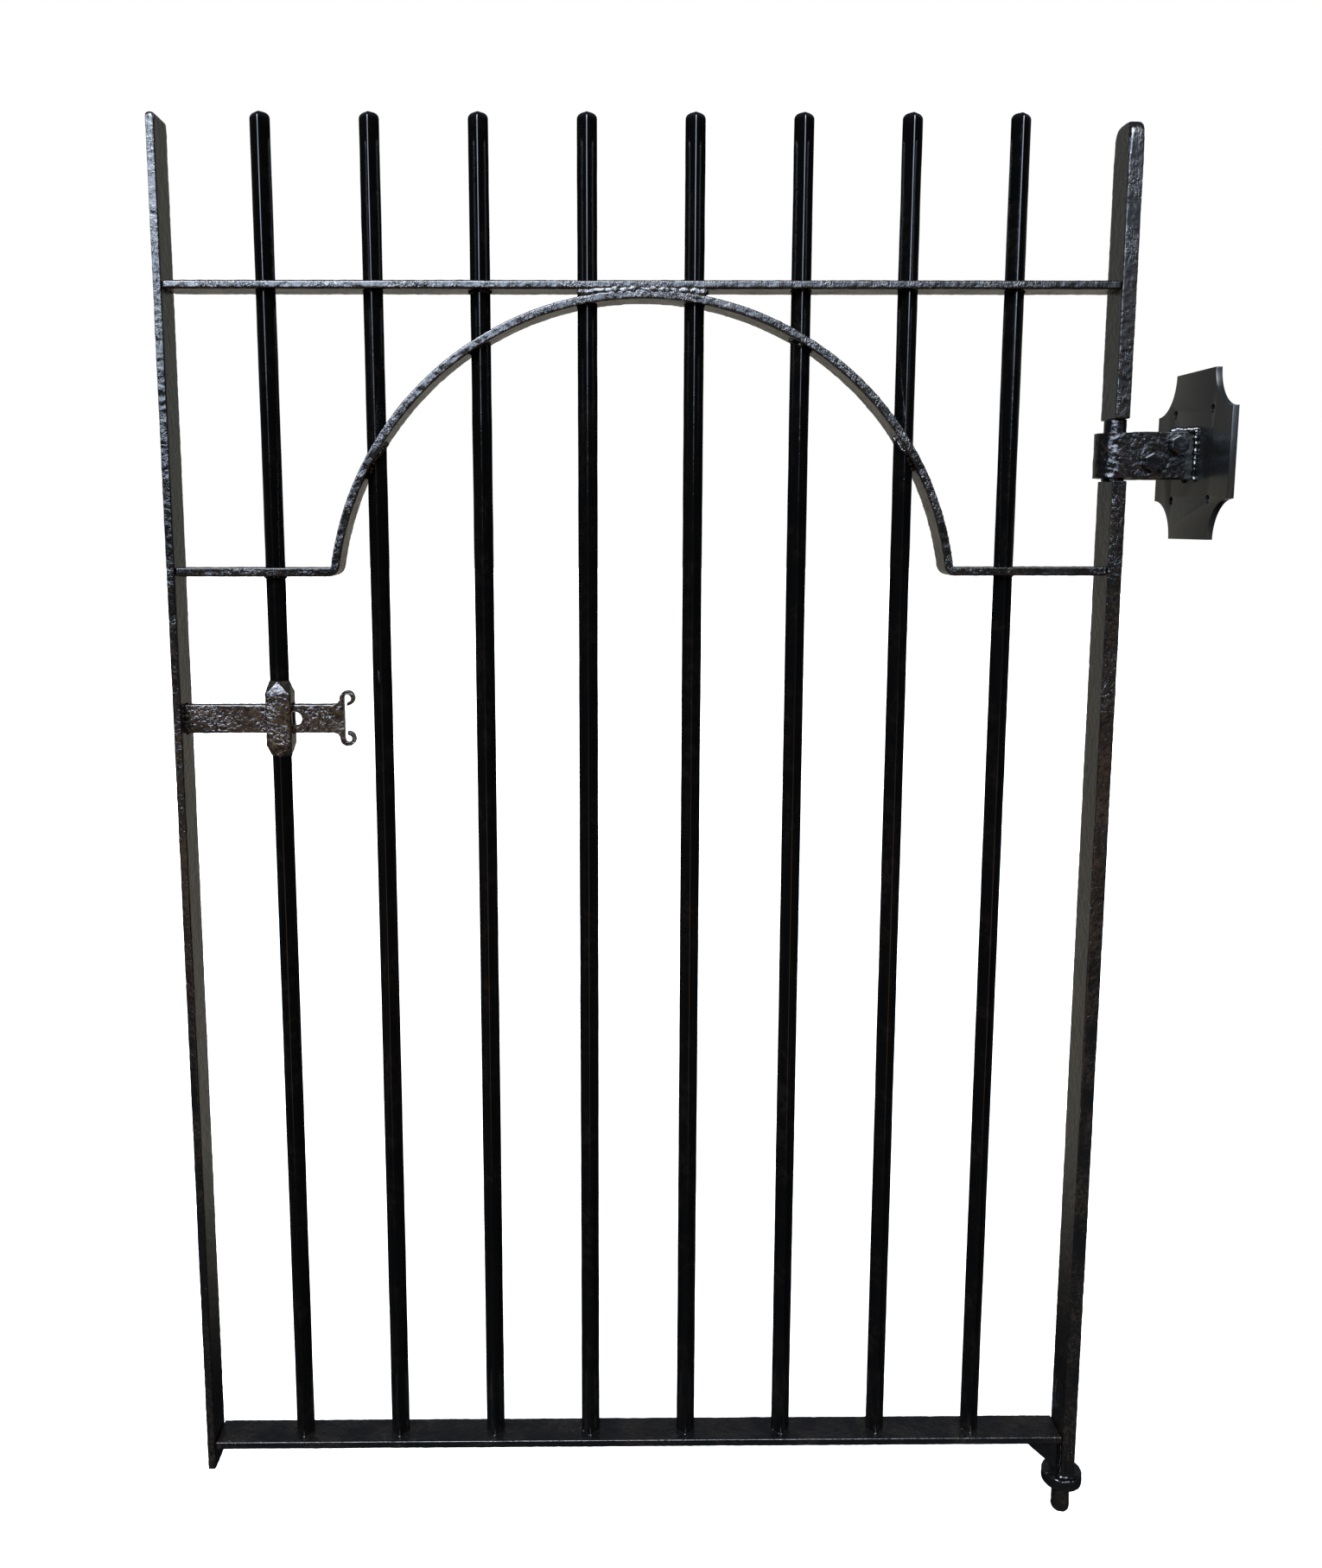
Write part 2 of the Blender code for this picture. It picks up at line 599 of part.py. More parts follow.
def build_gate():
    swing = axis_empty("gate_swing_axis", (AXIS_X, 0.0, 0.0))
    slide = axis_empty("latch_slide_axis", (LATCH_NOSE_X, 0.0, row_z(LATCH_HEIGHT)), swing)

    latch_stile(swing)
    hinge_stile(swing)
    hinge_neck(swing)
    passages = bar_passages()
    straight_rail("top_rail", TOP_RAIL_UNDERSIDE, passages, swing)
    arch_rail(passages, swing)
    straight_rail("bottom_rail", BOTTOM_RAIL_UNDERSIDE, passages, swing)
    picket_bars(swing)
    latch_keeper(passages, swing)
    latch_bolt(slide)
    foot_gusset(swing)
    foot_collar(swing)
    foot_pin(swing)

    wall_plate()
    holes = bolt_holes()
    hinge_lug(holes)
    hinge_strap(holes)
    strap_fasteners()


build_gate()
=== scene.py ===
"""Looks of a wrought-iron garden gate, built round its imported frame.

Every piece starts as a primitive, is shaped in edit mode, and is then worked over like hammered
iron: remeshed finely, dented and pitted. Sizes come from the frame's boxes and from the fields of
each class, in metres. The frame's origin is the centre of the wall plate's back face, the leaf lies
towards -X, its front faces -Y and +Z is up.
"""

import logging
import math
import random
from collections.abc import Callable, Iterable, Iterator
from contextlib import contextmanager
from dataclasses import dataclass, field
from enum import Enum
from functools import cache
from typing import ClassVar

import bpy
from mathutils import Euler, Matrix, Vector

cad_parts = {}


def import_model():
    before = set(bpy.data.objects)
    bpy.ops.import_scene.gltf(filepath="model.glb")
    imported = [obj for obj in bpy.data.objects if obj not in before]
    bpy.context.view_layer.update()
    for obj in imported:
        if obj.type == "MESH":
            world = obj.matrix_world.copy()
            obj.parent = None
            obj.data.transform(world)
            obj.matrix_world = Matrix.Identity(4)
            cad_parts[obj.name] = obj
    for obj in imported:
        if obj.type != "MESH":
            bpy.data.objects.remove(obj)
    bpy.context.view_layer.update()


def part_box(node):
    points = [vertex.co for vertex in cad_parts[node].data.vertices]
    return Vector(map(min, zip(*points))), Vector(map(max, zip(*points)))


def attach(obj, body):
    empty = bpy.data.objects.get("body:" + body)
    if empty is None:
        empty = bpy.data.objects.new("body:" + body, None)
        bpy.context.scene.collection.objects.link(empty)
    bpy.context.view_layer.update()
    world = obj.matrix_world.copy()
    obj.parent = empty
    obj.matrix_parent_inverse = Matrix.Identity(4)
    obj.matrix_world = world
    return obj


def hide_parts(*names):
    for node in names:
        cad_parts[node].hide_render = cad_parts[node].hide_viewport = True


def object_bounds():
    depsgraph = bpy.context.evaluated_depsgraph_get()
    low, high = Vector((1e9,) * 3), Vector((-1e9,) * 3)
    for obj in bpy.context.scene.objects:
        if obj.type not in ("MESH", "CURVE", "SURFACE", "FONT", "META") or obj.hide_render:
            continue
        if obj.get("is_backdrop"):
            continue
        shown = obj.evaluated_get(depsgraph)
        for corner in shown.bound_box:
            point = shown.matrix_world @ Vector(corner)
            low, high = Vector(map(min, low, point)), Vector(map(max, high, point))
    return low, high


LOG = logging.getLogger("garden_gate")

Colour = tuple[float, float, float]
Band = tuple[float, float]
Object = bpy.types.Object
PairTest = Callable[[Vector, Vector], bool]
NEAR = 1e-4


class Axis(Enum):
    """A direction of the frame, as its unit vector."""

    X = (1.0, 0.0, 0.0)
    Y = (0.0, 1.0, 0.0)
    Z = (0.0, 0.0, 1.0)

    @property
    def vector(self) -> Vector:
        """The unit vector along this axis."""
        return Vector(self.value)


class Body(Enum):
    """The bodies of the frame that pieces ride on."""

    BRACKET = "wall_bracket"
    LEAF = "gate_leaf"
    LATCH = "latch"


class Slot(Enum):
    """The record's material slots."""

    STILE = "stile_paint"
    RAIL = "rail_paint"
    BAR = "bar_paint"
    LATCH = "latch_paint"
    BRACKET = "bracket_paint"
    STRAP = "strap_paint"


# Bench: the few operations that every piece is made with


class Bench:
    """Adds, shapes and finishes meshes with Blender's operators."""

    @staticmethod
    def clear() -> None:
        """Leaves edit mode and deselects everything."""
        if bpy.context.mode != "OBJECT":
            bpy.ops.object.mode_set(mode="OBJECT")
        bpy.ops.object.select_all(action="DESELECT")

    @staticmethod
    def hold(*pieces: Object) -> None:
        """Selects only these pieces, the first of them active.

        Args:
            pieces: the pieces to select.
        """
        Bench.clear()
        for piece in pieces:
            piece.select_set(True)
        bpy.context.view_layer.objects.active = pieces[0]

    @staticmethod
    @contextmanager
    def editing(piece: Object, mode: str = "EDGE") -> Iterator[None]:
        """Opens a piece in edit mode with what is selected in its mesh.

        Args:
            piece: the piece to edit.
            mode: VERT, EDGE or FACE, the kind of element that is selected.

        Yields:
            Nothing; the piece is open for as long as the block runs.
        """
        Bench.hold(piece)
        bpy.ops.object.mode_set(mode="EDIT")
        bpy.ops.mesh.select_mode(type=mode)
        yield
        bpy.ops.object.mode_set(mode="OBJECT")

    @staticmethod
    def settle(name: str) -> Object:
        """Names the active object and puts its place, turn and size into its mesh.

        Args:
            name: its new name.

        Returns:
            The object.
        """
        piece = bpy.context.active_object
        piece.name = name
        piece.data.name = name
        bpy.ops.object.transform_apply(location=True, rotation=True, scale=True)
        return piece

    @staticmethod
    def box(name: str, low: Vector, high: Vector, turn_z: float = 0.0) -> Object:
        """Adds a block.

        Args:
            name: the block's name.
            low: its lowest corner before it is turned.
            high: its highest corner before it is turned.
            turn_z: how far it is turned about its own upright middle line.

        Returns:
            The block.
        """
        Bench.clear()
        middle = (low + high) / 2
        bpy.ops.mesh.primitive_cube_add(size=1.0, location=middle, rotation=(0.0, 0.0, turn_z))
        bpy.context.active_object.scale = high - low
        return Bench.settle(name)

    @staticmethod
    def rod(name: str, radius: float, low: Vector, high: Vector, sides: int = 48) -> Object:
        """Adds a round or many-sided rod.

        Args:
            name: the rod's name.
            radius: from its middle line to its corners.
            low: the middle of one end.
            high: the middle of the other end.
            sides: how many sides it has.

        Returns:
            The rod.
        """
        Bench.clear()
        run = high - low
        turn = run.to_track_quat("Z", "Y").to_euler()
        bpy.ops.mesh.primitive_cylinder_add(vertices=sides, radius=radius, depth=run.length,
                                            location=(low + high) / 2, rotation=turn)
        return Bench.settle(name)

    @staticmethod
    def choose(piece: Object, elements: Iterable, test: Callable[..., bool]) -> int:
        """Selects some edges or faces of a piece, and nothing else.

        Args:
            piece: the piece to select in.
            elements: its mesh's edges or its mesh's polygons.
            test: says whether an element is wanted.

        Returns:
            How many elements are selected.
        """
        mesh = piece.data
        for group in (mesh.polygons, mesh.edges, mesh.vertices):
            group.foreach_set("select", [False] * len(group))
        wanted = [element for element in elements if test(element)]
        for element in wanted:
            element.select = True
        return len(wanted)

    @staticmethod
    def select_edges(piece: Object, test: PairTest) -> int:
        """Selects the edges whose two ends pass a test, and counts them.

        Args:
            piece: the piece to select in.
            test: takes the two ends of an edge.

        Returns:
            How many edges are selected.
        """
        points = piece.data.vertices
        return Bench.choose(piece, piece.data.edges,
                            lambda edge: test(*(points[i].co for i in edge.vertices)))

    @staticmethod
    def select_facing(piece: Object, way: Vector, agreement: float = 0.9) -> None:
        """Selects the faces that look along a direction."""
        Bench.choose(piece, piece.data.polygons, lambda face: face.normal.dot(way) > agreement)

    @staticmethod
    def bevel_edges(piece: Object, width: float, segments: int, test: PairTest) -> None:
        """Rounds the edges whose two ends pass a test.

        Args:
            piece: the piece to round.
            width: how far the rounding reaches.
            segments: how many facets it has.
            test: takes the two ends of an edge.
        """
        if Bench.select_edges(piece, test):
            with Bench.editing(piece):
                bpy.ops.mesh.bevel(offset=width, offset_type="OFFSET", segments=segments,
                                   profile=0.5, clamp_overlap=True)

    @staticmethod
    def cut_along(piece: Object, axis: Axis, spacing: float) -> None:
        """Divides every edge that runs along an axis.

        Args:
            piece: the piece to divide.
            axis: the direction of the edges.
            spacing: about how long each part is left.
        """
        most_cuts, shortest, straightness = 60, 1.5 * spacing, 0.999

        def runs_along(start: Vector, end: Vector) -> bool:
            """Says whether an edge is long enough and runs along the axis."""
            run = end - start
            return run.length > shortest and abs(run.normalized().dot(axis.vector)) > straightness

        while Bench.select_edges(piece, runs_along):
            longest = max(e.length for e in Bench.chosen_runs(piece))
            cuts = min(most_cuts, max(1, round(longest / spacing) - 1))
            with Bench.editing(piece):
                bpy.ops.mesh.subdivide(number_cuts=cuts)

    @staticmethod
    def chosen_runs(piece: Object) -> list[Vector]:
        """The selected edges of a piece as vectors.

        Args:
            piece: the piece that is asked.

        Returns:
            Each edge's run from end to end.
        """
        points = piece.data.vertices
        return [points[e.vertices[1]].co - points[e.vertices[0]].co
                for e in piece.data.edges if e.select]

    @staticmethod
    @contextmanager
    def sweeping(name: str, place: Vector, height: float, width: float) -> Iterator[Object]:
        """Opens a flat bar's empty section, and closes the bar once it has been swept.

        Args:
            name: the bar's name.
            place: the middle of the section, which lies across X.
            height: the section's size along Z.
            width: the section's size along Y.

        Yields:
            The bar, in edit mode with its end selected.
        """
        Bench.clear()
        bpy.ops.mesh.primitive_plane_add(size=1.0, location=place, rotation=(0.0, math.pi / 2, 0.0))
        bpy.context.active_object.scale = (height, width, 1.0)
        bar = Bench.settle(name)
        with Bench.editing(bar):
            bpy.ops.mesh.select_all(action="SELECT")
            bpy.ops.mesh.delete(type="ONLY_FACE")
            bpy.ops.mesh.select_all(action="SELECT")
            yield bar
            bpy.ops.mesh.select_all(action="SELECT")
            bpy.ops.mesh.remove_doubles(threshold=1e-5)
            bpy.ops.mesh.fill_holes(sides=0)
            bpy.ops.mesh.normals_make_consistent(inside=False)

    @staticmethod
    def draw_out(length: float) -> None:
        """Carries the open section straight along +X."""
        bpy.ops.mesh.extrude_region_move(TRANSFORM_OT_translate={"value": (length, 0.0, 0.0)})

    @staticmethod
    def apply(piece: Object, kind: str, **settings: object) -> None:
        """Adds a modifier with these settings and applies it.

        Args:
            piece: the piece to change.
            kind: the modifier's type.
            settings: the modifier's own values by name.
        """
        Bench.hold(piece)
        modifier = piece.modifiers.new(kind.lower(), kind)
        for name, value in settings.items():
            setattr(modifier, name, value)
        bpy.ops.object.modifier_apply(modifier=modifier.name)

    @staticmethod
    def cut(piece: Object, tool: Object) -> None:
        """Cuts a tool's shape out of a piece and clears the tool away."""
        Bench.apply(piece, "BOOLEAN", operation="DIFFERENCE", solver="EXACT", object=tool)
        bpy.data.objects.remove(tool, do_unlink=True)

    @staticmethod
    def weld(*pieces: Object) -> Object:
        """Joins pieces into the first of them; a remesh then makes them one body.

        Args:
            pieces: the pieces to join.

        Returns:
            The joined piece.
        """
        Bench.hold(*pieces)
        bpy.ops.object.join()
        return pieces[0]

    @staticmethod
    def remesh(piece: Object, voxel: float, smoothing: int = 2) -> None:
        """Gives a piece an even, closed skin of small faces with softened edges.

        Args:
            piece: the piece to skin.
            voxel: how large the faces are.
            smoothing: how many times they are evened out.
        """
        Bench.apply(piece, "REMESH", mode="VOXEL", voxel_size=voxel, use_smooth_shade=True)
        if smoothing:
            Bench.apply(piece, "SMOOTH", factor=0.5, iterations=smoothing)

    @staticmethod
    def soften(piece: Object, width: float, angle: float = 30.0) -> None:
        """Rounds every edge sharper than an angle in degrees."""
        Bench.apply(piece, "BEVEL", width=width, segments=3, limit_method="ANGLE",
                    angle_limit=math.radians(angle))

    @staticmethod
    def shade(piece: Object, angle: float) -> None:
        """Shades smooth, with edges sharper than the angle in degrees left crisp."""
        Bench.hold(piece)
        bpy.ops.object.shade_smooth_by_angle(angle=math.radians(angle))


@dataclass(frozen=True)
class Dents:
    """One layer of unevenness in the iron itself."""

    name: str
    size: float
    depth: float
    middle: float = 0.5

    @cache
    def texture(self) -> bpy.types.Texture:
        """The layer's pattern, made once and shared.

        Returns:
            The pattern's texture.
        """
        pattern = bpy.data.textures.new(self.name, "CLOUDS")
        pattern.noise_scale = self.size
        pattern.noise_depth = 1
        return pattern

    def strike(self, piece: Object) -> None:
        """Dents a piece along its normals."""
        Bench.apply(piece, "DISPLACE", texture=self.texture(), texture_coords="LOCAL",
                    direction="NORMAL", strength=self.depth, mid_level=self.middle)


# Layers with a middle of 1 or near it only dent inwards, where a piece fills its node
SWAY = Dents("slow_sway", 0.060, 0.0004)
HAMMER = Dents("hammer_marks", 0.0075, 0.00045, 0.6)
ALL_OVER = (SWAY, HAMMER, Dents("rust_pits", 0.0040, 0.0004, 0.7))
OUTER = (Dents("outer_sway", 0.060, 0.0003, 0.95), Dents("outer_hammer", 0.0075, 0.00045, 0.9),
         Dents("outer_pits", 0.0040, 0.0004, 0.9))
HAMMER_IN = Dents("hammer_marks_in", 0.0080, 0.0006, 1.0)
PITS_IN = Dents("pits_in", 0.0042, 0.0007, 1.0)
INWARD = (HAMMER_IN, PITS_IN)
BAR_WAVES = Dents("bar_waves", 0.016, 0.00022)
DROPS = Dents("weld_drops", 0.0030, 0.0004, 0.6)
NECK_WEAR = Dents("neck_wear", 0.005, 0.0006, 1.0)
BOLT_SWAY = Dents("bolt_sway", 0.02, 0.0005, 1.0)
HEAD_WAVES = Dents("head_waves", 0.006, 0.0003, 1.0)


def work_over(piece: Object, *layers: Dents) -> None:
    """Dents a piece with each layer in turn."""
    for layer in layers:
        layer.strike(piece)


def place_of(node: str) -> tuple[Vector, Vector, Vector]:
    """The lowest corner, the highest corner and the middle of a node."""
    low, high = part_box(node)
    return low, high, (low + high) / 2


# Finishes


class Relief:
    """Builds the node groups that the finishes share."""

    kinds: ClassVar[dict[str, str]] = {
        "Place": "NodeSocketVector", "Thick": "NodeSocketColor", "Thin": "NodeSocketColor",
        "Colour": "NodeSocketColor"}

    @staticmethod
    def new_group(name: str, inputs: tuple[str, ...],
                  outputs: tuple[str, ...]) -> bpy.types.NodeTree:
        """Makes an empty shader group.

        Args:
            name: the group's name.
            inputs: its inputs, which are numbers where kinds says nothing else.
            outputs: its outputs, likewise.

        Returns:
            The group.
        """
        group = bpy.data.node_groups.new(name, "ShaderNodeTree")
        for side, labels in (("INPUT", inputs), ("OUTPUT", outputs)):
            for label in labels:
                kind = Relief.kinds.get(label, "NodeSocketFloat")
                group.interface.new_socket(name=label, in_out=side, socket_type=kind)
        return group

    @staticmethod
    @cache
    def iron_surface() -> bpy.types.NodeTree:
        """Height of pitted, brushed-over iron, and where its hollows and cracks are.

        Returns:
            The group, made on the first call.
        """
        group = Relief.new_group(
            "iron_surface",
            ("Place", "Pit Scale", "Pit Depth", "Grain Scale", "Grain Depth", "Crack Depth",
             "Stroke Depth"), ("Height", "Hollow", "Crack"))
        board = Board(group)
        given = board.node("NodeGroupInput").outputs
        place = given["Place"]

        pits = board.noise(place, given["Pit Scale"], detail=3.0, distortion=0.7)
        hollow = board.span(pits, 0.42, 0.66)
        grain = board.noise(place, given["Grain Scale"], detail=4.0, distortion=0.3)
        drawn_out = board.mapped(place, (85.0, 85.0, 7.0))
        veins = board.noise(drawn_out, None, detail=2.0, distortion=1.6)
        thin = board.maths("ABSOLUTE", board.maths("SUBTRACT", veins, 0.5))
        vein = board.span(thin, 0.010, 0.0)
        patches = board.span(board.noise(place, 14.0, detail=1.0), 0.52, 0.66)
        crack = board.maths("MULTIPLY", vein, patches)

        brushed = board.mapped(place, (420.0, 300.0, 120.0), math.radians(38.0))
        marks = board.noise(brushed, None, detail=2.0, distortion=1.1)
        stroke = board.maths("MULTIPLY", board.span(marks, 0.40, 0.62), given["Stroke Depth"])

        pitted = board.maths("MULTIPLY", hollow, given["Pit Depth"])
        rough = board.span(board.noise(place, 34.0, detail=2.0), 0.40, 0.62)
        height = board.maths("MULTIPLY", board.maths("ADD", stroke, pitted),
                             board.blend(rough, 0.22, 1.0))
        fine = board.maths("MULTIPLY", grain, given["Grain Depth"])
        deep = board.maths("MULTIPLY", crack, given["Crack Depth"])
        total = board.maths("SUBTRACT", board.maths("ADD", height, fine), deep)
        board.fill(board.node("NodeGroupOutput"),
                   {"Height": total, "Hollow": hollow, "Crack": crack})
        return group

    @staticmethod
    @cache
    def paint_film() -> bpy.types.NodeTree:
        """Colour and gloss of old brushed paint: thick in hollows, thin and brown on high spots.

        Returns:
            The group, made on the first call.
        """
        group = Relief.new_group(
            "paint_film",
            ("Place", "Thick", "Thin", "Wear Scale", "Wear", "Hollow", "Crack", "Smooth",
             "Dull"), ("Colour", "Roughness"))
        board = Board(group)
        given = board.node("NodeGroupInput").outputs
        place = given["Place"]
        broad = board.noise(place, given["Wear Scale"], detail=5.0, distortion=0.4)
        worn = board.span(broad, 0.40, 0.68)
        raised = board.maths("MULTIPLY", worn, board.span(given["Hollow"], -0.2, 0.9))
        share = board.maths("MULTIPLY", raised, given["Wear"], clamp=True)
        film = board.mix(share, given["Thick"], given["Thin"])
        dark = board.mix(given["Crack"], film, (0.001, 0.001, 0.001))
        streaks = board.noise(place, 55.0, detail=3.0, distortion=0.5)
        mottled = board.maths("MULTIPLY", board.span(streaks, 0.35, 0.70),
                              board.span(broad, 0.30, 0.75))
        gloss = board.blend(mottled, given["Smooth"], given["Dull"])
        board.fill(board.node("NodeGroupOutput"), {"Colour": dark, "Roughness": gloss})
        return group


class Board:
    """Places and links nodes in one node tree."""

    def __init__(self, tree: bpy.types.NodeTree) -> None:
        """Remembers the tree that nodes are added to."""
        self.tree = tree

    def node(self, kind: str) -> bpy.types.Node:
        """Adds a node of this type."""
        return self.tree.nodes.new(kind)

    def join(self, value: object, socket: bpy.types.NodeSocket) -> None:
        """Links a socket's output to an input, or sets the input to a plain value.

        Args:
            value: an output, a number, a colour or a vector.
            socket: the input.
        """
        if isinstance(value, bpy.types.NodeSocket):
            self.tree.links.new(value, socket)
        elif isinstance(value, tuple) and len(value) == 3 and socket.type == "RGBA":
            socket.default_value = (*value, 1.0)
        elif value is not None:
            socket.default_value = value

    def fill(self, node: bpy.types.Node, values: dict[str, object]) -> None:
        """Links or sets a node's inputs by name."""
        for name, value in values.items():
            self.join(value, node.inputs[name])

    def group(self, tree: bpy.types.NodeTree, values: dict[str, object]) -> bpy.types.Node:
        """Places a group with these inputs.

        Args:
            tree: the group.
            values: its inputs by name.

        Returns:
            The group's node.
        """
        node = self.node("ShaderNodeGroup")
        node.node_tree = tree
        self.fill(node, values)
        return node

    def mapped(self, place: object, scale: tuple[float, float, float],
               turn_y: float = 0.0) -> bpy.types.NodeSocket:
        """A place turned about Y and stretched, for a pattern that runs one way.

        Args:
            place: the place on the piece.
            scale: how dense the pattern is along each direction.
            turn_y: how far the pattern leans.

        Returns:
            The socket with the mapped place.
        """
        mapping = self.node("ShaderNodeMapping")
        self.fill(mapping, {"Vector": place, "Rotation": (0.0, turn_y, 0.0), "Scale": scale})
        return mapping.outputs["Vector"]

    def noise(self, place: object, scale: object, detail: float = 2.0,
              distortion: float = 0.0) -> bpy.types.NodeSocket:
        """A noise pattern.

        Args:
            place: where it is read.
            scale: how dense it is, or None for a place that is already scaled.
            detail: how many finer layers it has.
            distortion: how far it is stirred.

        Returns:
            The socket with the noise, from 0 to 1.
        """
        noise = self.node("ShaderNodeTexNoise")
        self.fill(noise, {"Vector": place, "Scale": 1.0 if scale is None else scale,
                          "Detail": detail, "Distortion": distortion})
        return noise.outputs["Fac"]

    def span(self, value: object, low: float, high: float) -> bpy.types.NodeSocket:
        """Stretches the values from low to high to the range 0 to 1, smoothly.

        Args:
            value: the value to stretch.
            low: what becomes 0.
            high: what becomes 1.

        Returns:
            The socket with the result.
        """
        stretch = self.node("ShaderNodeMapRange")
        stretch.interpolation_type = "SMOOTHSTEP"
        self.fill(stretch, {"Value": value, "From Min": low, "From Max": high})
        return stretch.outputs["Result"]

    def blend(self, share: object, first: object, second: object) -> bpy.types.NodeSocket:
        """A number between two others, by a share from 0 to 1.

        Args:
            share: how far it is towards the second.
            first: the number at 0.
            second: the number at 1.

        Returns:
            The socket with the number.
        """
        stretch = self.node("ShaderNodeMapRange")
        self.fill(stretch, {"Value": share, "To Min": first, "To Max": second})
        return stretch.outputs["Result"]

    def maths(self, step: str, first: object, second: object = None,
              clamp: bool = False) -> bpy.types.NodeSocket:
        """One step of arithmetic.

        Args:
            step: the operation, such as MULTIPLY.
            first: its first value.
            second: its second value, if it has one.
            clamp: whether the result is kept from 0 to 1.

        Returns:
            The socket with the result.
        """
        sum_node = self.node("ShaderNodeMath")
        sum_node.operation = step
        sum_node.use_clamp = clamp
        self.join(first, sum_node.inputs[0])
        if second is not None:
            self.join(second, sum_node.inputs[1])
        return sum_node.outputs["Value"]

    def mix(self, share: object, first: object, second: object) -> bpy.types.NodeSocket:
        """A colour between two others, by a share from 0 to 1.

        Args:
            share: how far it is towards the second.
            first: the colour at 0.
            second: the colour at 1.

        Returns:
            The socket with the colour.
        """
        mixer = self.node("ShaderNodeMix")
        mixer.data_type = "RGBA"
        self.join(share, mixer.inputs[0])
        self.join(first, mixer.inputs[6])
        self.join(second, mixer.inputs[7])
        return mixer.outputs[2]

    def by_ray(self, seen: object, reflected: object, surface: bpy.types.NodeSocket) -> None:
        """Shows one shader to the camera and another to everything else.

        Args:
            seen: the shader that the camera sees.
            reflected: the shader that lights and reflections see.
            surface: the output's input that takes the result.
        """
        either = self.node("ShaderNodeMixShader")
        self.join(self.node("ShaderNodeLightPath").outputs["Is Camera Ray"], either.inputs[0])
        self.join(reflected, either.inputs[1])
        self.join(seen, either.inputs[2])
        self.join(either.outputs[0], surface)


@dataclass(frozen=True)
class Finish:
    """Old black paint over iron, from smooth and deep to pitted and worn brown."""

    name: str
    slot: Slot
    thick: Colour
    thin: Colour
    wear: float
    smooth: float
    dull: float
    pit_scale: float
    pit_depth: float
    grain_scale: float = 700.0
    grain_depth: float = 0.03
    crack_depth: float = 0.0
    stroke_depth: float = 0.0
    wear_scale: float = 22.0
    specular: float = 0.5
    bump_height: float = 0.001

    @cache
    def material(self) -> bpy.types.Material:
        """The finish as a material, made on the first call.

        Returns:
            The material.
        """
        material = bpy.data.materials.new(self.name)
        material.use_nodes = True
        board = Board(material.node_tree)
        shader = material.node_tree.nodes["Principled BSDF"]
        place = board.node("ShaderNodeTexCoord").outputs["Object"]

        iron = board.group(Relief.iron_surface(), {
            "Place": place, "Pit Scale": self.pit_scale, "Pit Depth": self.pit_depth,
            "Grain Scale": self.grain_scale, "Grain Depth": self.grain_depth,
            "Crack Depth": self.crack_depth, "Stroke Depth": self.stroke_depth})
        film = board.group(Relief.paint_film(), {
            "Place": place, "Thick": self.thick, "Thin": self.thin,
            "Wear Scale": self.wear_scale, "Wear": self.wear, "Hollow": iron.outputs["Hollow"],
            "Crack": iron.outputs["Crack"], "Smooth": self.smooth, "Dull": self.dull})
        bump = board.node("ShaderNodeBump")
        board.fill(bump, {"Strength": 1.0, "Distance": self.bump_height,
                          "Height": iron.outputs["Height"]})
        board.fill(shader, {"Base Color": film.outputs["Colour"],
                            "Roughness": film.outputs["Roughness"],
                            "Normal": bump.outputs["Normal"]})
        shader.inputs["Specular IOR Level"].default_value = self.specular
        return material

    def dress(self, piece: Object, body: Body) -> Object:
        """Gives a piece this finish, and lets it ride on a body.

        Args:
            piece: the finished mesh.
            body: the body that it moves with.

        Returns:
            The same piece.
        """
        piece.data.materials.clear()
        piece.data.materials.append(self.material())
        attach(piece, body.value)
        LOG.info("%s: %d faces, %s, rides on %s", piece.name, len(piece.data.polygons),
                 self.name, body.value)
        return piece


STILE_PAINT = Finish(
    "stile_black_over_pitted_iron", Slot.STILE, thick=(0.0022, 0.0022, 0.0022),
    thin=(0.015, 0.0108, 0.0075), wear=0.5, smooth=0.08, dull=0.20, pit_scale=300.0,
    pit_depth=0.12, crack_depth=0.35, stroke_depth=0.10)
RAIL_PAINT = Finish(
    "rail_black_over_hammered_iron", Slot.RAIL, thick=(0.0022, 0.0022, 0.0022),
    thin=(0.013, 0.0095, 0.007), wear=0.5, smooth=0.07, dull=0.18, pit_scale=330.0,
    pit_depth=0.12, crack_depth=0.20, stroke_depth=0.22)
BAR_PAINT = Finish(
    "bar_deep_gloss_black", Slot.BAR, thick=(0.0008, 0.0008, 0.0008),
    thin=(0.004, 0.003, 0.0025), wear=0.5, smooth=0.07, dull=0.15, pit_scale=120.0,
    pit_depth=0.04, grain_depth=0.01)
LATCH_PAINT = Finish(
    "latch_brown_black_over_deep_pits", Slot.LATCH, thick=(0.0050, 0.0036, 0.0026),
    thin=(0.026, 0.018, 0.011), wear=0.9, smooth=0.07, dull=0.24, pit_scale=330.0,
    pit_depth=0.24, wear_scale=42.0)
PLATE_PAINT = Finish(
    "plate_satin_black", Slot.BRACKET, thick=(0.0050, 0.0054, 0.0054),
    thin=(0.011, 0.010, 0.008), wear=0.35, smooth=0.22, dull=0.34, pit_scale=90.0,
    pit_depth=0.03, grain_depth=0.01)
STRAP_PAINT = Finish(
    "strap_thick_black_over_pits", Slot.STRAP, thick=(0.0022, 0.0022, 0.0024),
    thin=(0.016, 0.011, 0.007), wear=0.4, smooth=0.06, dull=0.17, pit_scale=260.0,
    pit_depth=0.13, grain_depth=0.02, wear_scale=45.0)
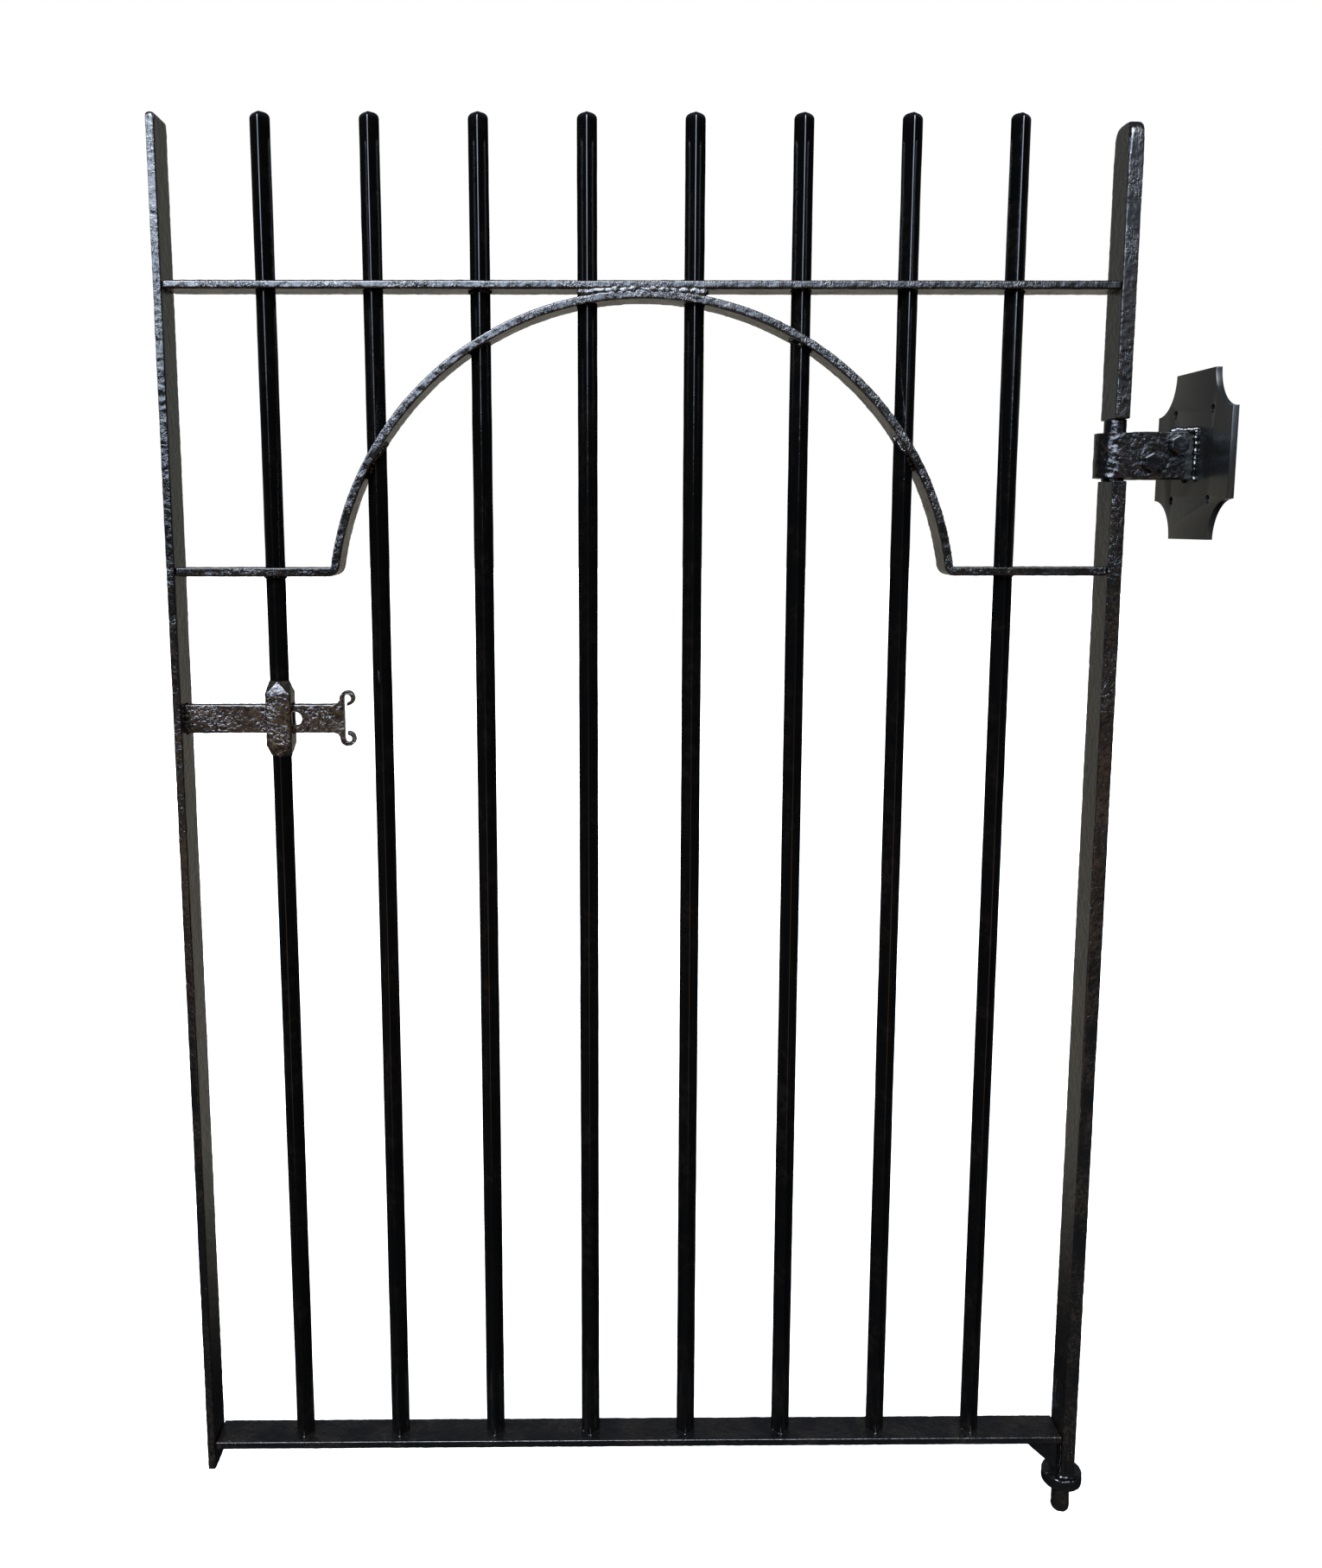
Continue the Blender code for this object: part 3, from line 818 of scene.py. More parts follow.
HEAD_PAINT = Finish(
    "bolt_head_thick_black", Slot.STRAP, thick=(0.0022, 0.0022, 0.0024),
    thin=(0.010, 0.008, 0.006), wear=0.3, smooth=0.09, dull=0.20, pit_scale=300.0,
    pit_depth=0.04, grain_depth=0.01)
WELD_PAINT = Finish(
    "weld_glossy_black", Slot.RAIL, thick=(0.0015, 0.0015, 0.0016),
    thin=(0.006, 0.005, 0.004), wear=0.3, smooth=0.05, dull=0.12, pit_scale=200.0,
    pit_depth=0.08, grain_depth=0.01)


# Leaf


@dataclass(frozen=True)
class BoltPath:
    """The straight way of the latch bolt through the leaf."""

    bolt_height: float = 0.030
    play: float = 0.0006
    past: float = 0.01

    def cut(self, piece: Object, node: str) -> None:
        """Cuts the bolt's slot through a piece, across the width of its node.

        Args:
            piece: the piece to slot.
            node: the node that it stands in for.
        """
        low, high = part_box(node)
        bolt_low, bolt_high, middle = place_of("latch_bolt")
        half = self.bolt_height / 2 + self.play
        Bench.cut(piece, Bench.box(
            "slot_tool", Vector((low.x - self.past, bolt_low.y - self.play, middle.z - half)),
            Vector((high.x + self.past, bolt_high.y + self.play, middle.z + half))))


BOLT_PATH = BoltPath()


@dataclass
class Stiles:
    """The two upright flat bars and the neck that the strap turns on."""

    top_radius: float = 0.0125
    crown: float = 0.0030
    voxel: float = 0.0015
    neck_voxel: float = 0.0009
    neck_overlap: float = 0.001
    neck_rows: float = 0.004

    def upright(self, node: str, rounded: bool, layers: tuple[Dents, ...]) -> Object:
        """Makes a dented flat bar the size of its node.

        Args:
            node: the node that it stands in for.
            rounded: whether its top corners are rounded.
            layers: its unevenness.

        Returns:
            The bar.
        """
        low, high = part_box(node)
        piece = Bench.box(f"{node}_iron", low, high)
        if rounded:
            shoulder = high.z - self.top_radius - NEAR
            Bench.bevel_edges(piece, self.top_radius, 8, lambda a, b: abs(a.y - b.y) < NEAR
                              and min(a.z, b.z) > high.z - NEAR)
            Bench.bevel_edges(piece, self.crown, 4, lambda a, b: abs(a.x - b.x) < NEAR
                              and min(a.z, b.z) > shoulder)
        Bench.remesh(piece, self.voxel, smoothing=3)
        work_over(piece, *layers)
        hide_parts(node)
        return piece

    def build(self) -> None:
        """Makes both stiles, the latch's slot and the neck."""
        latch_stile = self.upright("latch_stile", True, OUTER)
        BOLT_PATH.cut(latch_stile, "latch_stile")
        STILE_PAINT.dress(latch_stile, Body.LEAF)

        STILE_PAINT.dress(self.upright("hinge_stile_upper", True, ALL_OVER), Body.LEAF)
        STILE_PAINT.dress(self.upright("hinge_stile_lower", False, ALL_OVER), Body.LEAF)
        STRAP_PAINT.dress(self.neck(), Body.LEAF)

    def neck(self) -> Object:
        """The round neck, drawn in slightly where the strap has worn it.

        Returns:
            The neck.
        """
        low, high, middle = place_of("hinge_neck")
        radius = (high.x - low.x) / 2
        foot = Vector((middle.x, middle.y, low.z - self.neck_overlap))
        top = Vector((middle.x, middle.y, high.z + self.neck_overlap))
        neck = Bench.rod("hinge_neck_iron", radius, foot, top)
        Bench.cut_along(neck, Axis.Z, self.neck_rows)
        Bench.remesh(neck, self.neck_voxel)
        NECK_WEAR.strike(neck)
        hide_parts("hinge_neck")
        return neck


@dataclass
class Rails:
    """The top and bottom rails and the rail that is bent over the arch."""

    arch_radius: float = 0.304
    bend_inner_radius: float = 0.002
    thickness: float = 0.0085
    voxel: float = 0.0015
    arch_steps: int = 120
    bend_steps: int = 8

    def straight(self, node: str) -> Object:
        """A flat rail the size of its node.

        Args:
            node: the node that it stands in for.

        Returns:
            The rail.
        """
        low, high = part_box(node)
        rail = Bench.box(f"{node}_iron", low, high)
        Bench.remesh(rail, self.voxel)
        work_over(rail, *ALL_OVER)
        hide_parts(node)
        return rail

    def arch(self) -> Object:
        """One flat bar: a level run, a tight bend, the arch, a tight bend and a level run.

        Returns:
            The bar.
        """
        low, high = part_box("arch_rail")
        half = self.thickness / 2
        run_z = low.z + half
        centre = Vector(((low.x + high.x) / 2, 0.0, high.z - self.arch_radius))
        sweep_radius = self.arch_radius - half
        bend_radius = self.bend_inner_radius + half
        bend_z = run_z + bend_radius
        bend_out = math.sqrt((sweep_radius + bend_radius) ** 2 - (bend_z - centre.z) ** 2)
        lean = math.atan2(bend_z - centre.z, bend_out)
        left_bend = Vector((centre.x - bend_out, 0.0, bend_z))
        right_bend = Vector((centre.x + bend_out, 0.0, bend_z))

        start = Vector((low.x, 0.0, run_z))
        with Bench.sweeping("arch_rail_iron", start, self.thickness, high.y - low.y) as rail:
            Bench.draw_out(left_bend.x - low.x)
            self.bend(left_bend, math.pi / 2 - lean, self.bend_steps, upward=True)
            self.bend(centre, math.pi - 2 * lean, self.arch_steps, upward=False)
            self.bend(right_bend, math.pi / 2 - lean, self.bend_steps, upward=True)
            Bench.draw_out(high.x - right_bend.x)
        Bench.remesh(rail, self.voxel)
        work_over(rail, *ALL_OVER)
        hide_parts("arch_rail")
        return rail

    @staticmethod
    def bend(centre: Vector, angle: float, steps: int, upward: bool) -> None:
        """Carries the open section round a centre, turning up or over.

        Args:
            centre: the centre of the bend.
            angle: how far it turns.
            steps: how many parts the bend has.
            upward: whether the bar turns up, or over and down.
        """
        turn = 1.0 if upward else -1.0
        bpy.ops.mesh.spin(steps=steps, angle=angle, center=centre, axis=(0.0, turn, 0.0))

    def build(self) -> None:
        """Makes the three rails."""
        RAIL_PAINT.dress(self.straight("top_rail"), Body.LEAF)
        RAIL_PAINT.dress(self.arch(), Body.LEAF)
        RAIL_PAINT.dress(self.straight("bottom_rail"), Body.LEAF)


@dataclass
class Pickets:
    """The row of square bars that stand corner-on."""

    count: int = 8
    side: float = 0.014
    top_rounding: float = 0.0062
    arris: float = 0.0010
    row_spacing: float = 0.006
    dome_steps: int = 7
    tip_margin: float = 0.0003
    slotted_bar: int = 1
    crisp_angle: float = 50.0

    def dome(self, bar: Object, tip: Vector) -> None:
        """Rounds a bar's sides over towards its tip.

        Args:
            bar: a bar that ends below its tip by the rounding.
            tip: the middle of the finished top.
        """
        Bench.select_facing(bar, Axis.Z.vector)
        risen, size = 0.0, 1.0
        with Bench.editing(bar, "FACE"):
            for step in range(1, self.dome_steps + 1):
                angle = step / self.dome_steps * math.pi / 2
                rise = self.top_rounding * math.sin(angle)
                share = 1.0 - 2 * self.top_rounding * (1.0 - math.cos(angle)) / self.side
                bpy.ops.mesh.extrude_region_move(
                    TRANSFORM_OT_translate={"value": (0.0, 0.0, rise - risen)})
                bpy.ops.transform.resize(value=(share / size, share / size, 1.0),
                                         center_override=tip)
                risen, size = rise, share

    def bar(self, number: int) -> Object:
        """Makes one bar with softened corners and a rounded-over top.

        Args:
            number: the bar's place, counted from the latch.

        Returns:
            The bar.
        """
        node = f"picket_bar_{number}"
        low, high, middle = place_of(node)
        half = Vector((self.side / 2, self.side / 2, 0.0))
        foot = Vector((middle.x, middle.y, low.z)) - half
        top = Vector((middle.x, middle.y, high.z - self.top_rounding - self.tip_margin)) + half
        bar = Bench.box(f"{node}_iron", foot, top, turn_z=math.radians(45.0))
        Bench.bevel_edges(bar, self.arris, 3, lambda a, b: abs(a.z - b.z) > self.side)
        Bench.cut_along(bar, Axis.Z, self.row_spacing)
        self.dome(bar, Vector((middle.x, middle.y, high.z)))
        work_over(bar, SWAY, BAR_WAVES)
        if number == self.slotted_bar:
            BOLT_PATH.cut(bar, node)
        Bench.shade(bar, self.crisp_angle)
        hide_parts(node)
        return bar

    def build(self) -> None:
        """Makes every bar of the row."""
        for number in range(1, self.count + 1):
            BAR_PAINT.dress(self.bar(number), Body.LEAF)


# Latch


@dataclass
class Latch:
    """The sliding bolt with its two-scroll handle, and the keeper block that it runs in."""

    scroll_outer: float = 0.0083
    scroll_inner: float = 0.0028
    scroll_tip_thickness: float = 0.0047
    scroll_turn: float = math.radians(280.0)
    scroll_steps: int = 20
    scroll_right: float = 0.0077
    flare: float = 0.0052
    hole_radius: float = 0.0068
    hole_from_keeper: float = 0.0281
    front_edge: float = 0.0022
    overlap: float = 0.001
    drill_reach: float = 0.02
    keeper_tip: float = 0.0125
    keeper_chamfer: float = 0.0030
    keeper_grip: float = 0.0004
    bar_side: float = 0.014
    voxel: float = 0.0007

    def scroll(self, centre: Vector, depth: float, upper: bool) -> Object:
        """Makes a bar rolled round a centre, tapering to its tip.

        Args:
            centre: the middle of the scroll.
            depth: how deep the bar is, front to back.
            upper: whether it rolls over the top or under the bottom.

        Returns:
            The scroll.
        """
        thickness = self.scroll_outer - self.scroll_inner
        radius = (self.scroll_outer + self.scroll_inner) / 2
        start = centre - Vector((radius, 0.0, 0.0))
        Bench.clear()
        bpy.ops.mesh.primitive_plane_add(size=1.0, location=start)
        bpy.context.active_object.scale = (thickness, depth, 1.0)
        roll = Bench.settle("scroll_roll")
        way = 1.0 if upper else -1.0
        step = self.scroll_turn / self.scroll_steps
        taper = (self.scroll_tip_thickness / thickness) ** (1.0 / self.scroll_steps)
        with Bench.editing(roll, "FACE"):
            bpy.ops.mesh.select_all(action="SELECT")
            for index in range(1, self.scroll_steps + 1):
                angle = math.pi - index * step
                bpy.ops.mesh.extrude_region_move()
                bpy.ops.transform.rotate(value=-way * step, orient_axis="Y", center_override=centre)
                place = centre + radius * Vector((math.cos(angle), 0.0, way * math.sin(angle)))
                bpy.ops.transform.resize(value=(taper, 1.0, taper), center_override=place)
            bpy.ops.mesh.select_all(action="SELECT")
            bpy.ops.mesh.normals_make_consistent(inside=False)
        return roll

    def bolt(self) -> Object:
        """The flat bolt, flared into its handle.

        Returns:
            The bolt.
        """
        low, high, middle = place_of("latch_bolt")
        middle_z = middle.z
        depth = high.y - low.y
        half = BOLT_PATH.bolt_height / 2
        rise = half + self.flare
        scroll_x = high.x - self.scroll_right
        handle_left = scroll_x - self.scroll_outer
        handle_right = scroll_x - self.scroll_inner
        flare_x = handle_left - self.flare

        bar = Bench.box("latch_bolt_iron", Vector((low.x, low.y, middle_z - half)),
                        Vector((handle_right, high.y, middle_z + half)))
        Bench.bevel_edges(bar, self.front_edge, 3, lambda a, b: max(a.y, b.y) < low.y + NEAR
                          and abs(a.x - b.x) > depth)
        parts = [bar, Bench.box("handle", Vector((handle_left, low.y, middle_z - rise)),
                                Vector((handle_right, high.y, middle_z + rise)))]
        for side in (-1.0, 1.0):
            centre = Vector((scroll_x, 0.0, middle_z + side * rise))
            parts.append(self.scroll(centre, depth, side > 0))
            inner = middle_z + side * (half - self.overlap)
            outer = middle_z + side * rise
            web = Bench.box("flare_web", Vector((flare_x, low.y, min(inner, outer))),
                            Vector((handle_left + self.overlap, high.y, max(inner, outer))))
            self.drill(web, "flare_tool", self.flare, flare_x, outer)
            parts.append(web)
        bolt = Bench.weld(*parts)
        Bench.remesh(bolt, self.voxel)
        work_over(bolt, BOLT_SWAY, PITS_IN)
        hole_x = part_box("latch_keeper")[0].x + self.hole_from_keeper
        self.drill(bolt, "hole_tool", self.hole_radius, hole_x, middle_z)
        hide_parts("latch_bolt")
        return bolt

    def drill(self, piece: Object, name: str, radius: float, x: float, z: float) -> None:
        """Cuts a round hole from front to back."""
        Bench.cut(piece, Bench.rod(name, radius, Vector((x, -self.drill_reach, z)),
                                   Vector((x, self.drill_reach, z))))

    def keeper(self) -> Object:
        """The forged block, drawn to a point at each end, with the bolt's slot through it.

        Returns:
            The keeper.
        """
        low, high, middle = place_of("latch_keeper")
        reach = Vector((0.0, 0.0, self.keeper_tip))
        block = Bench.box("latch_keeper_iron", low + reach, high - reach)
        Bench.bevel_edges(block, self.keeper_chamfer, 2, lambda a, b: abs(a.z - b.z) > NEAR)
        grip = self.bar_side / 2 + self.keeper_grip
        half = Vector((grip, grip, (high.z - low.z) / 2))
        spine = Bench.box("spine", middle - half, middle + half, turn_z=math.radians(45.0))
        keeper = Bench.weld(block, spine)
        with Bench.editing(keeper, "VERT"):
            bpy.ops.mesh.select_all(action="SELECT")
            bpy.ops.mesh.convex_hull()
        Bench.remesh(keeper, self.voxel, smoothing=3)
        work_over(keeper, *INWARD)
        BOLT_PATH.cut(keeper, "latch_keeper")
        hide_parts("latch_keeper")
        return keeper

    def build(self) -> None:
        """Makes the bolt and its keeper."""
        LATCH_PAINT.dress(self.bolt(), Body.LATCH)
        LATCH_PAINT.dress(self.keeper(), Body.LEAF)


# Foot


@dataclass
class Foot:
    """The gusset, thrust collar and pin under the hinge stile."""

    voxel: float = 0.0008
    gusset_tip: float = 0.02
    collar_rounding: float = 0.003
    pin_rounding: float = 0.004

    def gusset(self) -> Object:
        """A triangle of plate between the bottom rail and the stile.

        Returns:
            The gusset.
        """
        low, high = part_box("foot_gusset")
        plate = Bench.box("foot_gusset_iron", low, high)
        Bench.select_facing(plate, -Axis.Z.vector)
        with Bench.editing(plate, "FACE"):
            bpy.ops.transform.resize(value=(self.gusset_tip, 1.0, 1.0),
                                     center_override=(high.x, 0.0, low.z))
        Bench.remesh(plate, self.voxel)
        HAMMER.strike(plate)
        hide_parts("foot_gusset")
        return plate

    def turned(self, node: str, rounding: float, both_ends: bool) -> Object:
        """Makes a short thick rod the size of its node.

        Args:
            node: the node that it stands in for.
            rounding: how far its ends are rounded.
            both_ends: whether its top is rounded as well as its bottom.

        Returns:
            The rod.
        """
        low, high, middle = place_of(node)
        radius = (high.x - low.x) / 2
        rod = Bench.rod(f"{node}_iron", radius, Vector((middle.x, middle.y, low.z)),
                        Vector((middle.x, middle.y, high.z)))
        Bench.bevel_edges(rod, rounding, 4, lambda a, b: max(a.z, b.z) < low.z + NEAR
                          or (both_ends and min(a.z, b.z) > high.z - NEAR))
        Bench.remesh(rod, self.voxel)
        work_over(rod, *INWARD)
        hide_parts(node)
        return rod

    def build(self) -> None:
        """Makes the three pieces of the foot."""
        RAIL_PAINT.dress(self.gusset(), Body.LEAF)
        STILE_PAINT.dress(self.turned("foot_collar", self.collar_rounding, True), Body.LEAF)
        STILE_PAINT.dress(self.turned("foot_pin", self.pin_rounding, False), Body.LEAF)


# Wall bracket


@dataclass
class WallBracket:
    """The scalloped wall plate, its lug, the strap round the neck and the strap's fasteners."""

    scoop_radius: float = 0.038
    hole_radius: float = 0.0042
    hole_spacing_y: float = 0.080
    hole_spacing_z: float = 0.084
    drill_reach: float = 0.02
    plate_edge: float = 0.0009
    strap_thickness: float = 0.008
    strap_voxel: float = 0.0009
    strap_steps: int = 40
    head_height: float = 0.0064
    bolts: tuple[int, ...] = (1, 2)
    head_inset: float = 0.0016
    head_crown: float = 0.0002
    nut_land: float = 0.0014
    thread_bevel: float = 0.0018
    thread_sink: float = 0.0005
    corner: float = 0.0008
    overlap: float = 0.001
    fastener_voxel: float = 0.0006
    hexagon: int = 6
    thread_radius: float = 0.005
    crisp_angle: float = 40.0

    def plate(self) -> Object:
        """A square plate with a scoop out of each corner and four holes.

        Returns:
            The plate.
        """
        low, high, middle = place_of("wall_plate")
        plate = Bench.box("wall_plate_steel", low, high)
        through = Vector((self.drill_reach, 0.0, 0.0))
        hole = Vector((0.0, self.hole_spacing_y, self.hole_spacing_z)) / 2
        for side_y in (-1.0, 1.0):
            for side_z in (-1.0, 1.0):
                for name, out, radius, sides in (
                        ("scoop_tool", (high - low) / 2, self.scoop_radius, 128),
                        ("hole_tool", hole, self.hole_radius, 48)):
                    spot = middle + Vector((0.0, side_y * out.y, side_z * out.z))
                    Bench.cut(plate, Bench.rod(name, radius, spot - through, spot + through, sides))
        Bench.soften(plate, self.plate_edge, self.crisp_angle)
        Bench.shade(plate, self.crisp_angle)
        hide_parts("wall_plate")
        return plate

    def lug(self) -> Object:
        """The block between the strap's legs.

        Returns:
            The lug.
        """
        low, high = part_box("hinge_lug")
        lug = Bench.box("hinge_lug_iron", low, high)
        Bench.remesh(lug, self.strap_voxel)
        HAMMER_IN.strike(lug)
        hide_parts("hinge_lug")
        return lug

    def strap(self) -> Object:
        """Flat bar bent in a U round the neck.

        Returns:
            The strap.
        """
        low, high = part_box("hinge_strap")
        neck_low, neck_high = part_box("hinge_neck")
        axis = (neck_low + neck_high) / 2
        start = Vector((high.x, low.y + self.strap_thickness / 2, (low.z + high.z) / 2))
        reach = high.x - axis.x
        with Bench.sweeping("hinge_strap_iron", start, high.z - low.z,
                            self.strap_thickness) as strap:
            Bench.draw_out(-reach)
            bpy.ops.mesh.spin(steps=self.strap_steps, angle=math.pi, center=(axis.x, 0.0, 0.0),
                              axis=Axis.Z.value)
            Bench.draw_out(reach)
        Bench.remesh(strap, self.strap_voxel)
        work_over(strap, *INWARD)
        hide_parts("hinge_strap")
        return strap

    def bolt(self, number: int) -> Object:
        """Makes a bolt with a domed, paint-softened head and its end past the nut.

        Args:
            number: 1 or 2.

        Returns:
            The bolt.
        """
        node = f"strap_bolt_{number}"
        low, high, middle = place_of(node)
        across = (high.x - low.x) / 2
        seat = low.y + self.head_height
        head = Bench.rod(f"{node}_steel", across, Vector((middle.x, low.y, middle.z)),
                         Vector((middle.x, seat, middle.z)), sides=self.hexagon)
        Bench.select_facing(head, -Axis.Y.vector)
        with Bench.editing(head, "FACE"):
            bpy.ops.mesh.inset(thickness=self.head_inset, depth=0.0)
            bpy.ops.transform.translate(value=(0.0, -self.head_crown, 0.0))
        Bench.soften(head, self.corner)
        shank = Bench.rod("shank", self.thread_radius,
                          Vector((middle.x, seat - self.overlap, middle.z)),
                          Vector((middle.x, high.y, middle.z)))
        Bench.bevel_edges(shank, self.corner, 2, lambda a, b: min(a.y, b.y) > high.y - NEAR)
        bolt = Bench.weld(head, shank)
        Bench.remesh(bolt, self.fastener_voxel)
        HEAD_WAVES.strike(bolt)
        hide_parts(node)
        return bolt

    def nut(self, number: int) -> Object:
        """Makes a hexagon nut with softened corners.

        Args:
            number: 1 or 2, as its bolt.

        Returns:
            The nut.
        """
        node = f"strap_nut_{number}"
        low, high, middle = place_of(node)
        nut = Bench.rod(f"{node}_steel", (high.x - low.x) / 2, Vector((middle.x, low.y, middle.z)),
                        Vector((middle.x, high.y, middle.z)), sides=self.hexagon)
        Bench.select_facing(nut, Axis.Y.vector)
        with Bench.editing(nut, "FACE"):
            bpy.ops.mesh.inset(thickness=self.nut_land, depth=0.0)
            bpy.ops.mesh.inset(thickness=self.thread_bevel, depth=-self.thread_sink)
        Bench.soften(nut, self.corner)
        Bench.shade(nut, self.crisp_angle)
        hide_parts(node)
        return nut

    def build(self) -> None:
        """Makes every piece of the bracket."""
        PLATE_PAINT.dress(self.plate(), Body.BRACKET)
        PLATE_PAINT.dress(self.lug(), Body.BRACKET)
        STRAP_PAINT.dress(self.strap(), Body.BRACKET)
        for number in self.bolts:
            HEAD_PAINT.dress(self.bolt(number), Body.BRACKET)
            HEAD_PAINT.dress(self.nut(number), Body.BRACKET)


# Welds


@dataclass
class Welds:
    """Weld beads and repair blobs, each a run of overlapping drops melted together."""

    voxel: float = 0.0007
    arch_radius: float = 0.304
    rail_thickness: float = 0.0085
    bars: int = 8
    bar_drops: int = 14
    bar_stand_off: float = 0.0006
    light: float = 0.0014
    heavy: float = 0.0027
    heavy_rail_bar: int = 3
    bar_half_diagonal: float = 0.0099
    heavy_arch_bars: tuple[int, ...] = (1, 2, 6, 7)
    stand_off: float = 0.001
    lug_drop: float = 0.0026
    lug_drops: int = 30
    top_run: float = 0.020
    top_start: float = 0.4
    top_rise: Band = (0.0008, 0.0015)
    top_drop: float = 0.0036
    short_run: int = 12
    apex_inset: float = 0.0020
    apex_reach: float = 0.058
    apex_fall: float = 0.0030
    apex_drop: float = 0.0042
    apex_drops: int = 90
    apex_flat: float = 0.40
    collar_inset: float = 0.0042
    collar_drop: float = 0.0040
    draws: random.Random = field(default_factory=lambda: random.Random(11))

    def bead(self, name: str, path: list[Vector], radius: float, drops: int,
             flat: float = 0.8) -> Object:
        """A run of overlapping drops along a path, melted into one lumpy bead.

        Args:
            name: the piece's name.
            path: the corner points of the run.
            radius: how large a drop is.
            drops: how many drops there are.
            flat: how far each drop is flattened, front to back.

        Returns:
            The bead.
        """
        parts = []
        for index in range(drops):
            share = index / max(1, drops - 1) * (len(path) - 1)
            leg = min(int(share), len(path) - 2)
            size = radius * self.draws.uniform(0.85, 1.15)
            drift = Vector([self.draws.uniform(-0.2, 0.2) * radius for _ in range(3)])
            place = path[leg].lerp(path[leg + 1], share - leg) + drift
            Bench.clear()
            bpy.ops.mesh.primitive_ico_sphere_add(subdivisions=2, radius=size, location=place)
            bpy.context.active_object.scale = (1.0, flat, self.draws.uniform(0.8, 1.1))
            parts.append(Bench.settle(f"{name}_drop_{index}"))
        bead = Bench.weld(*parts)
        bead.name = name
        bead.data.name = name
        Bench.remesh(bead, self.voxel, smoothing=7)
        DROPS.strike(bead)
        return bead

    def round_bar(self, name: str, x: float, level: Callable[[float], float],
                  radius: float) -> None:
        """A weld round the front half of a picket bar where it meets a rail.

        Args:
            name: the weld's name.
            x: where the bar's middle line is.
            level: the height of the rail's face over a given x.
            radius: how large a drop is.
        """
        reach = self.bar_half_diagonal
        path = [Vector((x + out, -reach * (1 - abs(out) / reach) - self.bar_stand_off,
                        level(x + out))) for out in (-0.9 * reach, 0.0, 0.9 * reach)]
        WELD_PAINT.dress(self.bead(name, path, radius, self.bar_drops), Body.LEAF)

    def under_arch(self, x: float) -> float:
        """The height of the arched rail's underside at a given x.

        Args:
            x: a place along the leaf.

        Returns:
            The height, which is the level run's beyond the arch.
        """
        low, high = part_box("arch_rail")
        out = abs(x - (low.x + high.x) / 2)
        inner = self.arch_radius - self.rail_thickness
        if out > inner:
            return low.z
        return high.z - self.arch_radius + math.sqrt(inner ** 2 - out ** 2)

    def bar_welds(self) -> None:
        """The welds of every bar to the rails and the arch."""
        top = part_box("top_rail")[0].z
        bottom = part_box("bottom_rail")[1].z
        for number in range(1, self.bars + 1):
            low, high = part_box(f"picket_bar_{number}")
            x = (low.x + high.x) / 2
            on_rail = self.heavy if number == self.heavy_rail_bar else self.light
            on_arch = self.heavy if number in self.heavy_arch_bars else self.light
            self.round_bar(f"rail_weld_{number}", x, lambda _: top, on_rail)
            self.round_bar(f"arch_weld_{number}", x, self.under_arch, on_arch)
            self.round_bar(f"foot_weld_{number}", x, lambda _: bottom, self.light)

    def lug_welds(self) -> None:
        """The welds of the lug to the wall plate: two upright ones and one on top."""
        low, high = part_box("hinge_lug")
        edge = high.x - self.stand_off
        for name, y in (("lug_weld_front", low.y - self.stand_off),
                        ("lug_weld_back", high.y + self.stand_off)):
            path = [Vector((edge, y, low.z)), Vector((edge, y, high.z))]
            WELD_PAINT.dress(self.bead(name, path, self.lug_drop, self.lug_drops), Body.BRACKET)
        path = [Vector((edge - self.top_run, low.y * self.top_start, high.z + self.top_rise[0])),
                Vector((edge, low.y, high.z + self.top_rise[1]))]
        WELD_PAINT.dress(self.bead("lug_weld_top", path, self.top_drop, self.short_run),
                         Body.BRACKET)

    def apex_welds(self) -> None:
        """The welds of the arch to the top rail, front and back."""
        low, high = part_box("top_rail")
        middle = place_of("arch_rail")[2].x
        for name, y in (("apex_weld_front", low.y + self.apex_inset),
                        ("apex_weld_back", high.y - self.apex_inset)):
            path = [Vector((middle + out, y, low.z - drop)) for out, drop in (
                (-self.apex_reach, self.apex_fall), (0.0, 0.0), (self.apex_reach, self.apex_fall))]
            RAIL_PAINT.dress(self.bead(name, path, self.apex_drop, self.apex_drops,
                                       flat=self.apex_flat), Body.LEAF)

    def collar_weld(self) -> None:
        """The weld of the thrust collar to the hinge stile."""
        low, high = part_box("foot_collar")
        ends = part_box("hinge_stile_lower")
        path = [Vector((end.x, low.y + self.collar_inset, high.z + self.stand_off)) for end in ends]
        bead = self.bead("collar_weld", path, self.collar_drop, self.short_run)
        WELD_PAINT.dress(bead, Body.LEAF)

    def build(self) -> None:
        """Lays every weld that shows."""
        self.bar_welds()
        self.lug_welds()
        self.apex_welds()
        self.collar_weld()


# Studio


